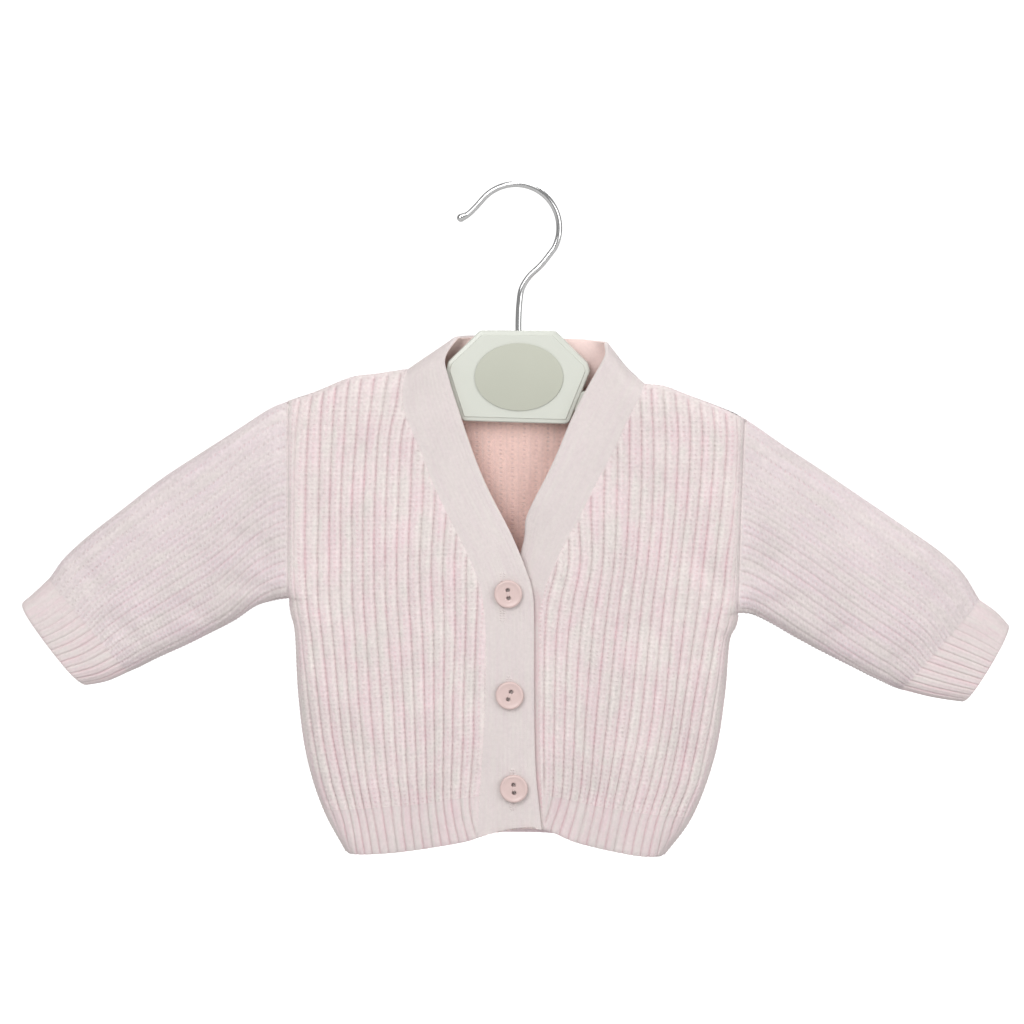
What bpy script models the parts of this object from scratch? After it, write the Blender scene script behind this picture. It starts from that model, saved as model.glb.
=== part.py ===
"""Newborn's rib-knit cardigan, buttoned up and hanging on a small plastic hanger.

Metres, +Z up. The origin is the inside of the hook's crown, where a rail or a peg holds it.
The fronts face -Y. Left and right are the wearer's, so the right front, which laps over the
left one, is at -X.

The tables are in millimetres. A cloth piece is an outer surface, worked out from them, with
its wall given by Solidify. Every piece of the body and of the button band reads its depth
from one function, half_depth, so that neighbours meet along their seams.
"""

import math
from collections import namedtuple

import bmesh
import bpy
import numpy as np
from mathutils import Matrix, Vector

MM = 0.001

# Driving dimensions, in millimetres.
KNIT_WALL = 2.6        # full rib of the fronts, back and sleeves
WELT_WALL = 2.4        # one by one rib of the hem and cuffs
BAND_WALL = 2.0        # fine knit of the button band
SEAM_GAP = 0.4         # between neighbouring pieces along a seam
BAND_GAP = 0.7         # between a panel and the button band, whose edge bends more
HALF_GAP = 0.2         # from the middle plane to a front or back piece
EDGE_ROUND = 11.0      # distance in which cloth rounds over at a shoulder or an underarm
SIDE_ROUND = 13.0      # the same at a side seam
LAP = 1.35             # how far the upper band stands out, and the lower one in
LAP_FADE = 40.0        # width of front that eases into the lap
LAP_EDGE = {"right": -20.0, "left": 16.0}    # x where the whole lap is reached
LAP_HEIGHT = (-178.0, -140.0)                # z of the whole lap, and of none
TUCK = 2.5             # how far the lower band's free edge turns in where it goes under
TUCK_HEIGHT = (-228.0, -155.0)               # z between which it turns in and out again
TUCK_EASE = 25.0
NECK_DEPTH = 8.2       # how far the neckband stands back from the middle plane
PANEL_WIDTH = 88.0     # of a front, which spaces the facets round its edges
PANEL_HEIGHT = 210.0
WELT_WIDTH = 80.0

BUTTON_RADIUS = 7.0
BUTTON_THICK = 2.2
HOLE_RADIUS = 0.9
HOLE_SPREAD = 2.0      # from the button's centre to each hole
BUTTON_STEPS = 24
HOLE_STEPS = 12
BUTTON_CLEAR = 0.35    # from the band to a button

PLATE_THICK = 9.0
PLATE_BEVEL = 2.6
ARM_THICK = 6.4
ARM_BEVEL = 1.4
ARM_DROP = 5.2         # from the shoulder line down to an arm's upper edge
ARM_REACH = (-104.0, 103.0)
ARM_HEIGHT = (12.0, 7.0)                     # at the plate and at the tips
BADGE_SIZE = (44.0, 33.5)
BADGE_CENTRE = (1.0, -94.0)
BADGE_THICK = 0.4
BADGE_CLEAR = 0.3

WIRE_RADIUS = 1.5
HOOK_CENTRE = (-1.0, -20.2)
HOOK_RADIUS = 21.7
HOOK_TURN = (-28.0, 137.0)                   # degrees, from the stem's side to the tip's
TIP_SWELL = 1.3
STEM_BORE = 2.0

Point = namedtuple("Point", "x z")
Depth = namedtuple("Depth", "z half")
Strip = namedtuple("Strip", "seam_x seam_z edge_x edge_z")
Section = namedtuple("Section", "top_x top_z low_x low_z half")
Button = namedtuple("Button", "name x z turn")

# Shoulder seams from the tip to the neck, and the fold of the neckband above them.
SHOULDER = {
    "right": (Point(-114.5, -106.5), Point(-101.0, -102.0), Point(-83.5, -94.8),
              Point(-70.0, -92.8), Point(-55.0, -90.5)),
    "left": (Point(113.5, -115.0), Point(100.5, -109.0), Point(82.5, -102.2),
             Point(73.0, -98.6), Point(63.5, -97.5)),
}
NECK_FOLD = {
    "right": (Point(-55.0, -90.5), Point(-43.0, -84.3), Point(-30.5, -73.5)),
    "left": (Point(63.5, -97.5), Point(54.0, -89.0), Point(44.5, -76.0)),
}

# Armhole, straight down to the underarm, then the side seam to the hem.
UNDERARM = {"right": -205.5, "left": -211.5}
SIDE = {
    "right": (Point(-114.5, -106.5), Point(-114.5, -156.0), Point(-114.5, -205.5),
              Point(-111.6, -222.0), Point(-110.0, -253.0), Point(-106.0, -284.0),
              Point(-97.7, -311.0), Point(-85.5, -333.8)),
    "left": (Point(113.5, -115.0), Point(111.8, -163.0), Point(110.0, -211.5),
             Point(105.6, -225.0), Point(103.3, -252.0), Point(98.3, -283.0),
             Point(87.4, -313.0), Point(72.0, -333.6)),
}

# Hem of the fronts, which arches up to the button band, hem of the back, and welt tops.
FRONT_HEM = (Point(-85.5, -333.8), Point(-58.0, -331.8), Point(-27.0, -327.3),
             Point(-9.0, -321.6), Point(2.0, -319.5), Point(12.0, -320.8),
             Point(31.0, -327.3), Point(56.5, -332.0), Point(72.0, -333.6))
BACK_HEM = (Point(-85.5, -333.8), Point(-50.0, -330.4), Point(0.0, -325.6),
            Point(45.0, -329.6), Point(72.0, -333.6))
WELT_TOP = {
    "right": (Point(-97.7, -311.0), Point(-85.5, -310.4), Point(-52.0, -307.6),
              Point(-18.6, -302.8)),
    "left": (Point(87.4, -313.0), Point(67.0, -311.4), Point(41.0, -307.6),
             Point(13.2, -302.4)),
}
BACK_WELT_TOP = (Point(-97.7, -311.0), Point(-50.0, -307.2), Point(0.0, -303.4),
                 Point(45.0, -306.8), Point(87.4, -313.0))

# Half the body's depth at each height.
BODY_DEPTH = (Depth(-75.0, 8.0), Depth(-115.0, 8.2), Depth(-160.0, 9.0),
              Depth(-205.0, 10.0), Depth(-250.0, 11.0), Depth(-290.0, 10.4),
              Depth(-311.0, 9.2), Depth(-334.0, 8.4))

# The band's sewn edge and free edge, section by section: up the right front, round the back
# of the neck and down the left front. At the hem both edges follow the fronts' hem.
BAND_RIGHT = (
    Strip(-19.4, None, 12.8, None), Strip(-18.6, -308.0, 11.4, -308.0),
    Strip(-17.0, -287.0, 9.6, -287.0), Strip(-15.2, -255.0, 9.0, -255.0),
    Strip(-15.0, -222.0, 9.0, -220.0), Strip(-16.2, -207.0, 8.4, -202.5),
    Strip(-18.5, -196.0, 5.2, -190.5), Strip(-24.5, -181.0, -2.4, -172.0),
    Strip(-35.0, -160.5, -12.6, -152.5), Strip(-41.5, -147.0, -19.0, -138.5),
    Strip(-47.5, -131.0, -25.0, -122.0), Strip(-53.0, -118.5, -29.8, -107.5),
    Strip(-56.3, -108.5, -33.4, -96.0), Strip(-56.8, -99.0, -35.8, -86.0),
    Strip(-56.2, -94.4, -34.4, -80.0), Strip(-55.0, -90.5, -30.5, -73.5),
)
BAND_NECK = (
    Strip(-53.6, -91.3, -29.6, -73.3), Strip(-50.0, -92.8, -26.8, -73.2),
    Strip(-42.0, -95.4, -20.0, -73.3), Strip(-22.0, -98.2, -10.0, -73.8),
    Strip(5.0, -99.4, 6.0, -74.4), Strip(32.0, -99.2, 22.0, -75.0),
    Strip(50.0, -98.8, 34.0, -75.4), Strip(58.5, -98.3, 40.4, -75.8),
    Strip(62.2, -97.9, 43.5, -76.0),
)
BAND_LEFT = (
    Strip(63.5, -97.5, 44.5, -76.0), Strip(62.8, -100.2, 44.2, -80.0),
    Strip(61.2, -103.6, 42.6, -85.5),
    Strip(55.5, -114.0, 34.5, -100.0), Strip(49.5, -127.5, 27.0, -115.0),
    Strip(43.0, -140.0, 21.3, -128.8), Strip(37.0, -151.5, 15.4, -141.8),
    Strip(30.5, -165.0, 8.4, -155.4), Strip(25.5, -173.5, 4.4, -165.0),
    Strip(20.0, -184.5, 3.2, -175.0), Strip(15.0, -197.0, -1.5, -190.0),
    Strip(12.3, -208.0, -8.0, -205.0), Strip(11.6, -224.0, -11.6, -222.0),
    Strip(11.5, -255.0, -12.5, -255.0), Strip(12.2, -290.0, -11.8, -290.0),
    Strip(13.6, None, -12.0, None),
)

# Sleeve sections from the armhole to the cuff seam, and the cuff's open edge.
SLEEVE = {
    "right": (
        Section(-114.9, -106.6, -114.9, -205.3, 8.3), Section(-123.5, -110.0, -121.5, -206.0, 8.8),
        Section(-137.0, -118.6, -131.0, -209.0, 9.4), Section(-155.5, -130.5, -142.5, -216.6, 9.8),
        Section(-178.5, -145.5, -157.5, -224.4, 9.9), Section(-198.0, -160.6, -172.0, -231.4, 9.7),
        Section(-215.5, -174.2, -183.5, -236.8, 9.3), Section(-227.8, -185.4, -190.4, -240.2, 8.9),
        Section(-235.3, -195.5, -195.5, -242.5, 8.6),
    ),
    "left": (
        Section(113.9, -115.1, 110.4, -211.3, 8.3), Section(119.5, -118.8, 116.0, -211.8, 8.8),
        Section(132.0, -127.5, 124.5, -215.2, 9.4), Section(152.0, -140.5, 139.0, -223.4, 9.8),
        Section(172.5, -154.5, 154.0, -231.2, 9.9), Section(193.0, -168.3, 168.5, -238.6, 9.7),
        Section(209.5, -179.8, 180.0, -244.2, 9.3), Section(221.0, -190.5, 186.4, -247.2, 8.9),
        Section(229.5, -204.0, 191.0, -249.0, 8.6),
    ),
}
CUFF = {
    "right": (
        Section(-235.6, -195.8, -195.8, -242.8, 8.4), Section(-243.0, -202.8, -206.6, -246.4, 8.3),
        Section(-249.8, -209.3, -217.7, -248.3, 8.0),
    ),
    "left": (
        Section(229.8, -204.3, 191.3, -249.3, 8.4), Section(237.6, -209.8, 206.0, -251.6, 8.3),
        Section(244.4, -217.4, 221.4, -253.4, 8.0),
    ),
}

BUTTONS = (Button("button_top", -3.8, -201.5, -6.0), Button("button_middle", -3.0, -252.0, 21.0),
           Button("button_bottom", -1.0, -298.7, -4.0))

# The hanger's head plate, clockwise from the top left corner.
PLATE = (Point(-18.5, -71.0), Point(18.5, -71.0), Point(35.0, -86.8), Point(36.5, -91.0),
         Point(25.8, -117.6), Point(-28.0, -116.0), Point(-36.0, -91.0), Point(-34.6, -86.4))

# The hook's wire below and beyond its round crown.
STEM_ROUTE = (Point(0.4, -82.0), Point(0.4, -74.0), Point(0.4, -66.0), Point(0.8, -58.0),
              Point(2.0, -50.5), Point(5.8, -44.2), Point(12.0, -38.2))
TIP_ROUTE = (Point(-20.6, -9.6), Point(-24.6, -13.4), Point(-28.2, -15.2))

Finish = namedtuple("Finish", "colour roughness metallic")
FULL_RIB = Finish((0.76, 0.65, 0.65), 0.92, 0.0)
FINE_RIB = Finish((0.74, 0.64, 0.64), 0.90, 0.0)
BAND_KNIT = Finish((0.78, 0.67, 0.66), 0.90, 0.0)
BUTTON_PINK = Finish((0.60, 0.40, 0.37), 0.35, 0.0)
HANGER_WHITE = Finish((0.74, 0.76, 0.69), 0.30, 0.0)
BADGE_GREY = Finish((0.62, 0.63, 0.54), 0.60, 0.0)
BRIGHT_WIRE = Finish((0.66, 0.66, 0.66), 0.15, 1.0)


# ---------------------------------------------------------------- scene and objects

def clear_scene():
    """Remove the objects that a new file starts with."""
    for obj in list(bpy.data.objects):
        bpy.data.objects.remove(obj, do_unlink=True)


def new_collection(name):
    """Return a new collection, linked to the scene."""
    collection = bpy.data.collections.new(name)
    bpy.context.scene.collection.children.link(collection)
    return collection


def make_material(name, finish):
    """Return a Principled material with a finish's colour, roughness and metallic value."""
    material = bpy.data.materials.new(name)
    material.use_nodes = True
    shader = material.node_tree.nodes["Principled BSDF"]
    shader.inputs["Base Color"].default_value = (*finish.colour, 1.0)
    shader.inputs["Roughness"].default_value = finish.roughness
    shader.inputs["Metallic"].default_value = finish.metallic
    return material


def add_object(name, data, collection, finish=None):
    """Link a new object to a collection, with a material of its own."""
    obj = bpy.data.objects.new(name, data)
    collection.objects.link(obj)
    if finish:
        data.materials.clear()
        data.materials.append(make_material(name + "_finish", finish))
    return obj


def mesh_from(bm, name):
    """Turn a bmesh into a mesh, shaded smooth with sharp edges kept."""
    mesh = bpy.data.meshes.new(name)
    bm.to_mesh(mesh)
    bm.free()
    mesh.shade_smooth()
    mesh.set_sharp_from_angle(angle=math.radians(40))
    return mesh


def settled_mesh(obj):
    """The mesh that an object's curve or modifiers make."""
    bpy.context.view_layer.update()
    evaluated = obj.evaluated_get(bpy.context.evaluated_depsgraph_get())
    return bpy.data.meshes.new_from_object(evaluated)


def settle(obj):
    """Replace an object's mesh by what its modifiers make of it."""
    mesh = settled_mesh(obj)
    obj.modifiers.clear()
    obj.data = mesh


def keep_behind(obj, point, normal):
    """Slide every vertex that stands past a plane, on its normal's side, back onto it."""
    point = Vector(point) * MM
    normal = Vector(normal).normalized()
    for vertex in obj.data.vertices:
        past = (vertex.co - point).dot(normal)
        if past > 0.0:
            vertex.co -= normal * past


# ---------------------------------------------------------------- lines and depths

def spline(rows, steps):
    """Points of a Catmull-Rom curve through rows, with a number of steps between rows."""
    rows = np.array(rows, dtype=float)
    ahead = np.vstack([2 * rows[0] - rows[1], rows, 2 * rows[-1] - rows[-2]])
    points = []
    for before, start, end, after in zip(ahead, ahead[1:], ahead[2:], ahead[3:]):
        for t in np.arange(steps) / steps:
            points.append(0.5 * (2 * start + (end - before) * t
                                 + (2 * before - 5 * start + 4 * end - after) * t ** 2
                                 + (3 * start - before - 3 * end + after) * t ** 3))
    points.append(rows[-1])
    return np.array(points)


def at_fractions(points, fractions):
    """Points of a polyline at fractions of its length."""
    lengths = np.concatenate([[0.0], np.cumsum(np.linalg.norm(np.diff(points, axis=0), axis=1))])
    wanted = np.asarray(fractions) * lengths[-1]
    return np.stack([np.interp(wanted, lengths, column) for column in points.T], axis=-1)


def height_at(x, line):
    """Height of a line at x, for a line that runs one way along X."""
    line = line[np.argsort(line[:, 0])]
    return np.interp(x, line[:, 0], line[:, 1])


def round_over(distance, radius):
    """0 at an edge and 1 from a radius inwards, along a quarter of a circle."""
    reach = np.clip(distance / radius, 0.0, 1.0)
    return np.sqrt(1.0 - (1.0 - reach) ** 2)


def ease(value):
    """0 below 0, 1 above 1, and a smooth step between."""
    value = np.clip(value, 0.0, 1.0)
    return value * value * (3.0 - 2.0 * value)


def edge_steps(length, radius, turns, evens):
    """Fractions from 0 to 1: close together round an edge's radius, then ever wider."""
    angles = np.linspace(0.0, math.pi / 2, turns + 1)
    turned = (1.0 - np.cos(angles)) * radius / length
    wider = np.linspace(0.0, 1.0, evens + 1)[1:] ** 1.25
    return np.concatenate([turned, turned[-1] + (1.0 - turned[-1]) * wider])


CREST = np.vstack([spline(SHOULDER["right"], 6), spline(NECK_FOLD["right"], 6),
                   spline(NECK_FOLD["left"], 6)[::-1], spline(SHOULDER["left"], 6)[::-1]])
SIDE_LINE = {side: spline(rows, 6) for side, rows in SIDE.items()}
FRONT_HEM_LINE = spline(FRONT_HEM, 6)


def half_depth(x, z):
    """How far the body's outer surface stands from the middle plane at (x, z)."""
    side = "right" if x < 0.0 else "left"
    line = SIDE_LINE[side]
    seam_x = np.interp(-z, -line[:, 1], line[:, 0])
    depth = BODY_DEPTH[::-1]
    full = np.interp(z, [row.z for row in depth], [row.half for row in depth])
    at_edge = full * round_over(z - UNDERARM[side], EDGE_ROUND)
    across = at_edge + (full - at_edge) * round_over(abs(seam_x) - abs(x), SIDE_ROUND)
    return HALF_GAP + across * round_over(height_at(x, CREST) - z, EDGE_ROUND)


def lap_at(side, x, z):
    """How far a front stands out, or in, so that the two bands lie on each other."""
    past = LAP_EDGE[side] - x if side == "right" else x - LAP_EDGE[side]
    low, high = LAP_HEIGHT
    lap = LAP * ease(1.0 - past / LAP_FADE) * ease((high - z) / (high - low))
    return lap if side == "right" else -lap


def front_point(side, x, z):
    """A point on the outer surface of one front."""
    return (x, -half_depth(x, z) - lap_at(side, x, z), z)


def back_point(x, z):
    """A point on the outer surface of the back."""
    return (x, half_depth(x, z), z)


# ---------------------------------------------------------------- cloth

def sheet(name, points, collection, finish, wall, closed=False):
    """A cloth piece: a grid moved onto rows of points, with a wall on its inner side.

    points is an array of rows, columns and millimetres. A closed sheet's last column is its
    first one again. Every piece faces away from the garment's middle plane.
    """
    rows, columns = points.shape[:2]
    bm = bmesh.new()
    bmesh.ops.create_grid(bm, x_segments=columns - 1, y_segments=rows - 1, size=0.5)
    for vertex in bm.verts:
        column = round((vertex.co.x + 0.5) * (columns - 1))
        row = round((vertex.co.y + 0.5) * (rows - 1))
        vertex.co = Vector(points[row, column]) * MM
    if closed:
        bmesh.ops.remove_doubles(bm, verts=bm.verts, dist=0.00002)
    bm.normal_update()
    if sum(face.normal.y * face.calc_center_median().y for face in bm.faces) < 0.0:
        bmesh.ops.reverse_faces(bm, faces=bm.faces)
    obj = add_object(name, mesh_from(bm, name), collection, finish)
    solidify = obj.modifiers.new("Wall", "SOLIDIFY")
    solidify.thickness = wall * MM
    solidify.offset = -1.0
    solidify.use_even_offset = True
    solidify.use_rim = True
    settle(obj)
    return obj


def coons(top, bottom, outer, inner, across, down):
    """(x, z) of a four-sided patch, blended from its four boundary lines."""
    top = at_fractions(top, across)
    bottom = at_fractions(bottom, across)
    outer = at_fractions(outer, down)
    inner = at_fractions(inner, down)
    u = np.asarray(across)[None, :, None]
    v = np.asarray(down)[:, None, None]
    ruled = (1 - v) * top[None] + v * bottom[None] + (1 - u) * outer[:, None] + u * inner[:, None]
    corners = ((1 - u) * (1 - v) * top[0] + u * (1 - v) * top[-1]
               + (1 - u) * v * bottom[0] + u * v * bottom[-1])
    return ruled - corners


def lift_patch(patch, to_surface):
    """Give each (x, z) of a patch its place on a surface."""
    return np.array([[to_surface(x, z) for x, z in row] for row in patch])


def band_seam(side, low, high):
    """The band's sewn edge on one front between two heights, from the top down."""
    rows = BAND_RIGHT if side == "right" else BAND_LEFT
    known = [(row.seam_x, row.seam_z) for row in rows if row.seam_z is not None]
    hem_x = rows[0].seam_x if side == "right" else rows[-1].seam_x
    hem = (hem_x, float(height_at(hem_x, FRONT_HEM_LINE)))
    known = [hem] + known if side == "right" else known + [hem]
    line = spline(known, 6)
    line = line[np.argsort(-line[:, 1])]
    heights = np.linspace(high, low, 60)
    return np.stack([np.interp(-heights, -line[:, 1], line[:, 0]), heights], axis=-1)


def side_stretch(side, low, high):
    """The armhole and side seam between two heights, from the top down."""
    line = SIDE_LINE[side]
    heights = np.linspace(high, low, 80)
    return np.stack([np.interp(-heights, -line[:, 1], line[:, 0]), heights], axis=-1)


def build_front(side, collection):
    """One front, from the shoulder to the welt and from the armhole to the band."""
    outward = 1.0 if side == "left" else -1.0
    tip, neck = SHOULDER[side][0], SHOULDER[side][-1]
    corner, band_end = WELT_TOP[side][0], WELT_TOP[side][-1]
    gap = np.array([outward * BAND_GAP, 0.0])
    top = spline(SHOULDER[side], 6)
    top[-1] += gap
    inner = band_seam(side, band_end.z, neck.z) + gap
    outer = side_stretch(side, corner.z, tip.z)
    bottom = spline(WELT_TOP[side], 6)
    bottom[-1] = inner[-1]
    across = edge_steps(PANEL_WIDTH, SIDE_ROUND, 4, 10)
    down = edge_steps(PANEL_HEIGHT, EDGE_ROUND, 4, 14)
    patch = coons(top, bottom, outer, inner, across, down)
    points = lift_patch(patch, lambda x, z: front_point(side, x, z))
    front = sheet("front_" + side, points, collection, FULL_RIB, KNIT_WALL)
    keep_behind(front, (0, -HALF_GAP, 0), (0, 1, 0))
    return front


def build_back(collection):
    """The back, whose top edge is the two shoulders with the neck seam between them."""
    neck_seam = [(row.seam_x, row.seam_z - BAND_GAP) for row in BAND_NECK]
    right_end = (SHOULDER["right"][-1].x - BAND_GAP, SHOULDER["right"][-1].z)
    left_end = (SHOULDER["left"][-1].x + BAND_GAP, SHOULDER["left"][-1].z)
    seam = edge_steps(PANEL_WIDTH, SIDE_ROUND, 3, 4)
    right = at_fractions(spline(SHOULDER["right"], 6), seam)
    left = at_fractions(spline(SHOULDER["left"], 6), seam)
    right[-1], left[-1] = right_end, left_end
    top = np.vstack([right, neck_seam, left[::-1]])
    across = np.concatenate([[0.0], np.cumsum(np.linalg.norm(np.diff(top, axis=0), axis=1))])
    across /= across[-1]
    tips = SHOULDER["right"][0], SHOULDER["left"][0]
    outer = side_stretch("right", WELT_TOP["right"][0].z, tips[0].z)
    inner = side_stretch("left", WELT_TOP["left"][0].z, tips[1].z)
    down = edge_steps(PANEL_HEIGHT, EDGE_ROUND, 4, 12)
    patch = coons(top, spline(BACK_WELT_TOP, 6), outer, inner, across, down)
    points = lift_patch(patch, back_point)
    back = sheet("back", points, collection, FULL_RIB, KNIT_WALL)
    keep_behind(back, (0, HALF_GAP, 0), (0, -1, 0))
    return back


def build_front_welt(side, collection):
    """The hem rib of one front, between the side seam and the band."""
    outward = 1.0 if side == "left" else -1.0
    drop = np.array([0.0, -SEAM_GAP])
    top = spline(WELT_TOP[side], 6) + drop
    corner = SIDE[side][-1]
    strip = BAND_RIGHT[0] if side == "right" else BAND_LEFT[-1]
    hem_x = strip.seam_x + outward * BAND_GAP
    xs = np.linspace(corner.x, hem_x, 24)
    bottom = np.stack([xs, height_at(xs, FRONT_HEM_LINE)], axis=-1)
    outer = side_stretch(side, corner.z, top[0][1])
    inner = band_seam(side, bottom[-1][1], top[-1][1]) + np.array([outward * BAND_GAP, 0.0])
    top[0], top[-1] = outer[0], inner[0]
    across = edge_steps(WELT_WIDTH, SIDE_ROUND, 4, 9)
    patch = coons(top, bottom, outer, inner, across, np.linspace(0.0, 1.0, 4))
    points = lift_patch(patch, lambda x, z: front_point(side, x, z))
    welt = sheet("welt_front_" + side, points, collection, FINE_RIB, WELT_WALL)
    keep_behind(welt, (0, -HALF_GAP, 0), (0, 1, 0))
    return welt


def build_back_welt(collection):
    """The hem rib of the back, from side seam to side seam."""
    top = spline(BACK_WELT_TOP, 6) + np.array([0.0, -SEAM_GAP])
    bottom = spline(BACK_HEM, 6)
    outer = side_stretch("right", SIDE["right"][-1].z, top[0][1])
    inner = side_stretch("left", SIDE["left"][-1].z, top[-1][1])
    top[0], top[-1] = outer[0], inner[0]
    half = edge_steps(WELT_WIDTH, SIDE_ROUND, 4, 8) / 2
    across = np.concatenate([half, (1.0 - half[:-1])[::-1]])
    patch = coons(top, bottom, outer, inner, across, np.linspace(0.0, 1.0, 4))
    points = lift_patch(patch, back_point)
    welt = sheet("welt_back", points, collection, FINE_RIB, WELT_WALL)
    keep_behind(welt, (0, HALF_GAP, 0), (0, -1, 0))
    return welt


def tube_points(sections, steps):
    """Rings of a flattened tube, rounded at its upper and lower edge."""
    rings = []
    for top_x, top_z, low_x, low_z, half in spline(sections, steps):
        length = math.hypot(low_x - top_x, low_z - top_z)
        down = edge_steps(length / 2, EDGE_ROUND, 3, 2) / 2
        down = np.concatenate([down, (1.0 - down[:-1])[::-1]])
        depth = half * round_over(down * length, EDGE_ROUND)
        depth = depth * round_over((1.0 - down) * length, EDGE_ROUND)
        x = top_x + (low_x - top_x) * down
        z = top_z + (low_z - top_z) * down
        front = np.stack([x, -depth, z], axis=-1)
        behind = np.stack([x, depth, z], axis=-1)[::-1]
        rings.append(np.vstack([front, behind[1:]]))
    return np.array(rings)


def end_plane(section, towards):
    """A point and a normal of a tube's end, with the normal on one side in X."""
    normal = Vector((section.low_z - section.top_z, 0.0, section.top_x - section.low_x))
    if normal.x * towards < 0.0:
        normal.negate()
    return (section.top_x, 0.0, section.top_z), normal


def build_sleeve(side, collection):
    """One sleeve, a tube from the armhole to the cuff seam."""
    outward = 1.0 if side == "left" else -1.0
    points = tube_points(SLEEVE[side], 2)
    sleeve = sheet("sleeve_" + side, points, collection, FULL_RIB, KNIT_WALL, True)
    keep_behind(sleeve, *end_plane(SLEEVE[side][0], -outward))
    keep_behind(sleeve, *end_plane(SLEEVE[side][-1], outward))
    return sleeve


def build_cuff(side, collection):
    """One cuff, drawn in towards its open edge."""
    outward = 1.0 if side == "left" else -1.0
    points = tube_points(CUFF[side], 2)
    cuff = sheet("cuff_" + side, points, collection, FINE_RIB, WELT_WALL, True)
    keep_behind(cuff, *end_plane(CUFF[side][0], -outward))
    return cuff


def band_rows(strips, steps):
    """Sewn-edge and free-edge points of one stretch of band, (seam_x, seam_z, edge_x, edge_z)."""
    rows = []
    for strip in strips:
        seam_z, edge_z = strip.seam_z, strip.edge_z
        if seam_z is None:
            seam_z = float(height_at(strip.seam_x, FRONT_HEM_LINE))
            edge_z = float(height_at(strip.edge_x, FRONT_HEM_LINE))
        rows.append((strip.seam_x, seam_z, strip.edge_x, edge_z))
    return spline(rows, steps)


def leg_point(side, x, z, share):
    """A point of the band on one front, share of the way from its sewn to its free edge."""
    z = min(z, float(height_at(x, CREST)))
    point = front_point(side, x, z)
    if side == "right":
        return point
    low, high = TUCK_HEIGHT
    turned = ease((high - z) / TUCK_EASE) * ease((z - low) / TUCK_EASE)
    return (x, point[1] + TUCK * turned * share ** 2, z)


def neck_point(x, z, share, edge_x, sewn):
    """A point of the band behind the neck, between its sewn and its free edge."""
    right, left = NECK_FOLD["right"][-1].x, NECK_FOLD["left"][-1].x
    free = NECK_DEPTH * round_over(min(edge_x - right, left - edge_x), EDGE_ROUND)
    z = min(z, float(height_at(x, CREST)))
    return (x, (1.0 - share) * sewn + share * free, z)


def build_band(collection):
    """The button band: one strip up the right front, round the neck and down the left one."""
    shares = np.linspace(0.0, 1.0, 5)
    fold = BAND_RIGHT[-1], BAND_LEFT[0]
    right = band_rows(BAND_RIGHT, 2)
    left = band_rows(BAND_LEFT, 2)
    neck = band_rows((fold[0],) + BAND_NECK + (fold[1],), 1)[1:-1]
    points = []
    for rows, place in ((right, "right"), (neck, "neck"), (left, "left")):
        for seam_x, seam_z, edge_x, edge_z in rows:
            row = []
            for share in shares:
                x = seam_x + (edge_x - seam_x) * share
                z = seam_z + (edge_z - seam_z) * share
                if place == "neck":
                    sewn = half_depth(seam_x, seam_z)
                    row.append(neck_point(x, z, share, edge_x, sewn))
                else:
                    row.append(leg_point(place, x, z, share))
            points.append(row)
    return sheet("button_band", np.array(points), collection, BAND_KNIT, BAND_WALL)


# ---------------------------------------------------------------- buttons

def button_mesh(cutters):
    """A rimmed button turned about Z, with its underside at z = 0 and two sewing holes."""
    profile = ((0.0, 1.5), (4.4, 1.5), (5.1, 2.0), (5.9, BUTTON_THICK), (6.6, 1.9),
               (BUTTON_RADIUS, 1.2), (6.6, 0.4), (5.6, 0.0), (0.0, 0.0))
    bm = bmesh.new()
    vertices = [bm.verts.new((radius * MM, 0.0, height * MM)) for radius, height in profile]
    for start, end in zip(vertices, vertices[1:]):
        bm.edges.new((start, end))
    turned = add_object("button_blank", mesh_from(bm, "button_blank"), cutters)
    screw = turned.modifiers.new("Turn", "SCREW")
    screw.steps = BUTTON_STEPS
    screw.render_steps = BUTTON_STEPS
    screw.use_merge_vertices = True
    screw.merge_threshold = 0.00001
    drills = []
    for side in (-1, 1):
        bm = bmesh.new()
        bmesh.ops.create_cone(bm, cap_ends=True, segments=HOLE_STEPS, radius1=HOLE_RADIUS * MM,
                              radius2=HOLE_RADIUS * MM, depth=4 * BUTTON_THICK * MM)
        half_step = Matrix.Rotation(math.pi / HOLE_STEPS, 3, "Z")
        bmesh.ops.rotate(bm, verts=bm.verts, matrix=half_step)
        bmesh.ops.translate(bm, verts=bm.verts, vec=(0.0, side * HOLE_SPREAD * MM, 0.0))
        drill = add_object("button_drill", mesh_from(bm, "button_drill"), cutters)
        cut = turned.modifiers.new("Hole", "BOOLEAN")
        cut.operation = "DIFFERENCE"
        cut.object = drill
        drills.append(drill)
    settle(turned)
    mesh = turned.data
    for obj in [turned] + drills:
        bpy.data.objects.remove(obj, do_unlink=True)
    mesh.name = "button"
    mesh.set_sharp_from_angle(angle=math.radians(40))
    return mesh


def build_buttons(collection, cutters):
    """Three buttons on the upper band, each turned as it was sewn."""
    mesh = button_mesh(cutters)
    mesh.materials.clear()
    mesh.materials.append(make_material("button_finish", BUTTON_PINK))
    buttons = []
    for button in BUTTONS:
        obj = add_object(button.name, mesh, collection)
        reach = front_point("right", button.x, button.z)[1] - BUTTON_CLEAR
        obj.location = Vector((button.x, reach, button.z)) * MM
        obj.rotation_euler = (math.radians(90), math.radians(button.turn), 0.0)
        buttons.append(obj)
    return buttons


# ---------------------------------------------------------------- hanger

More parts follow.
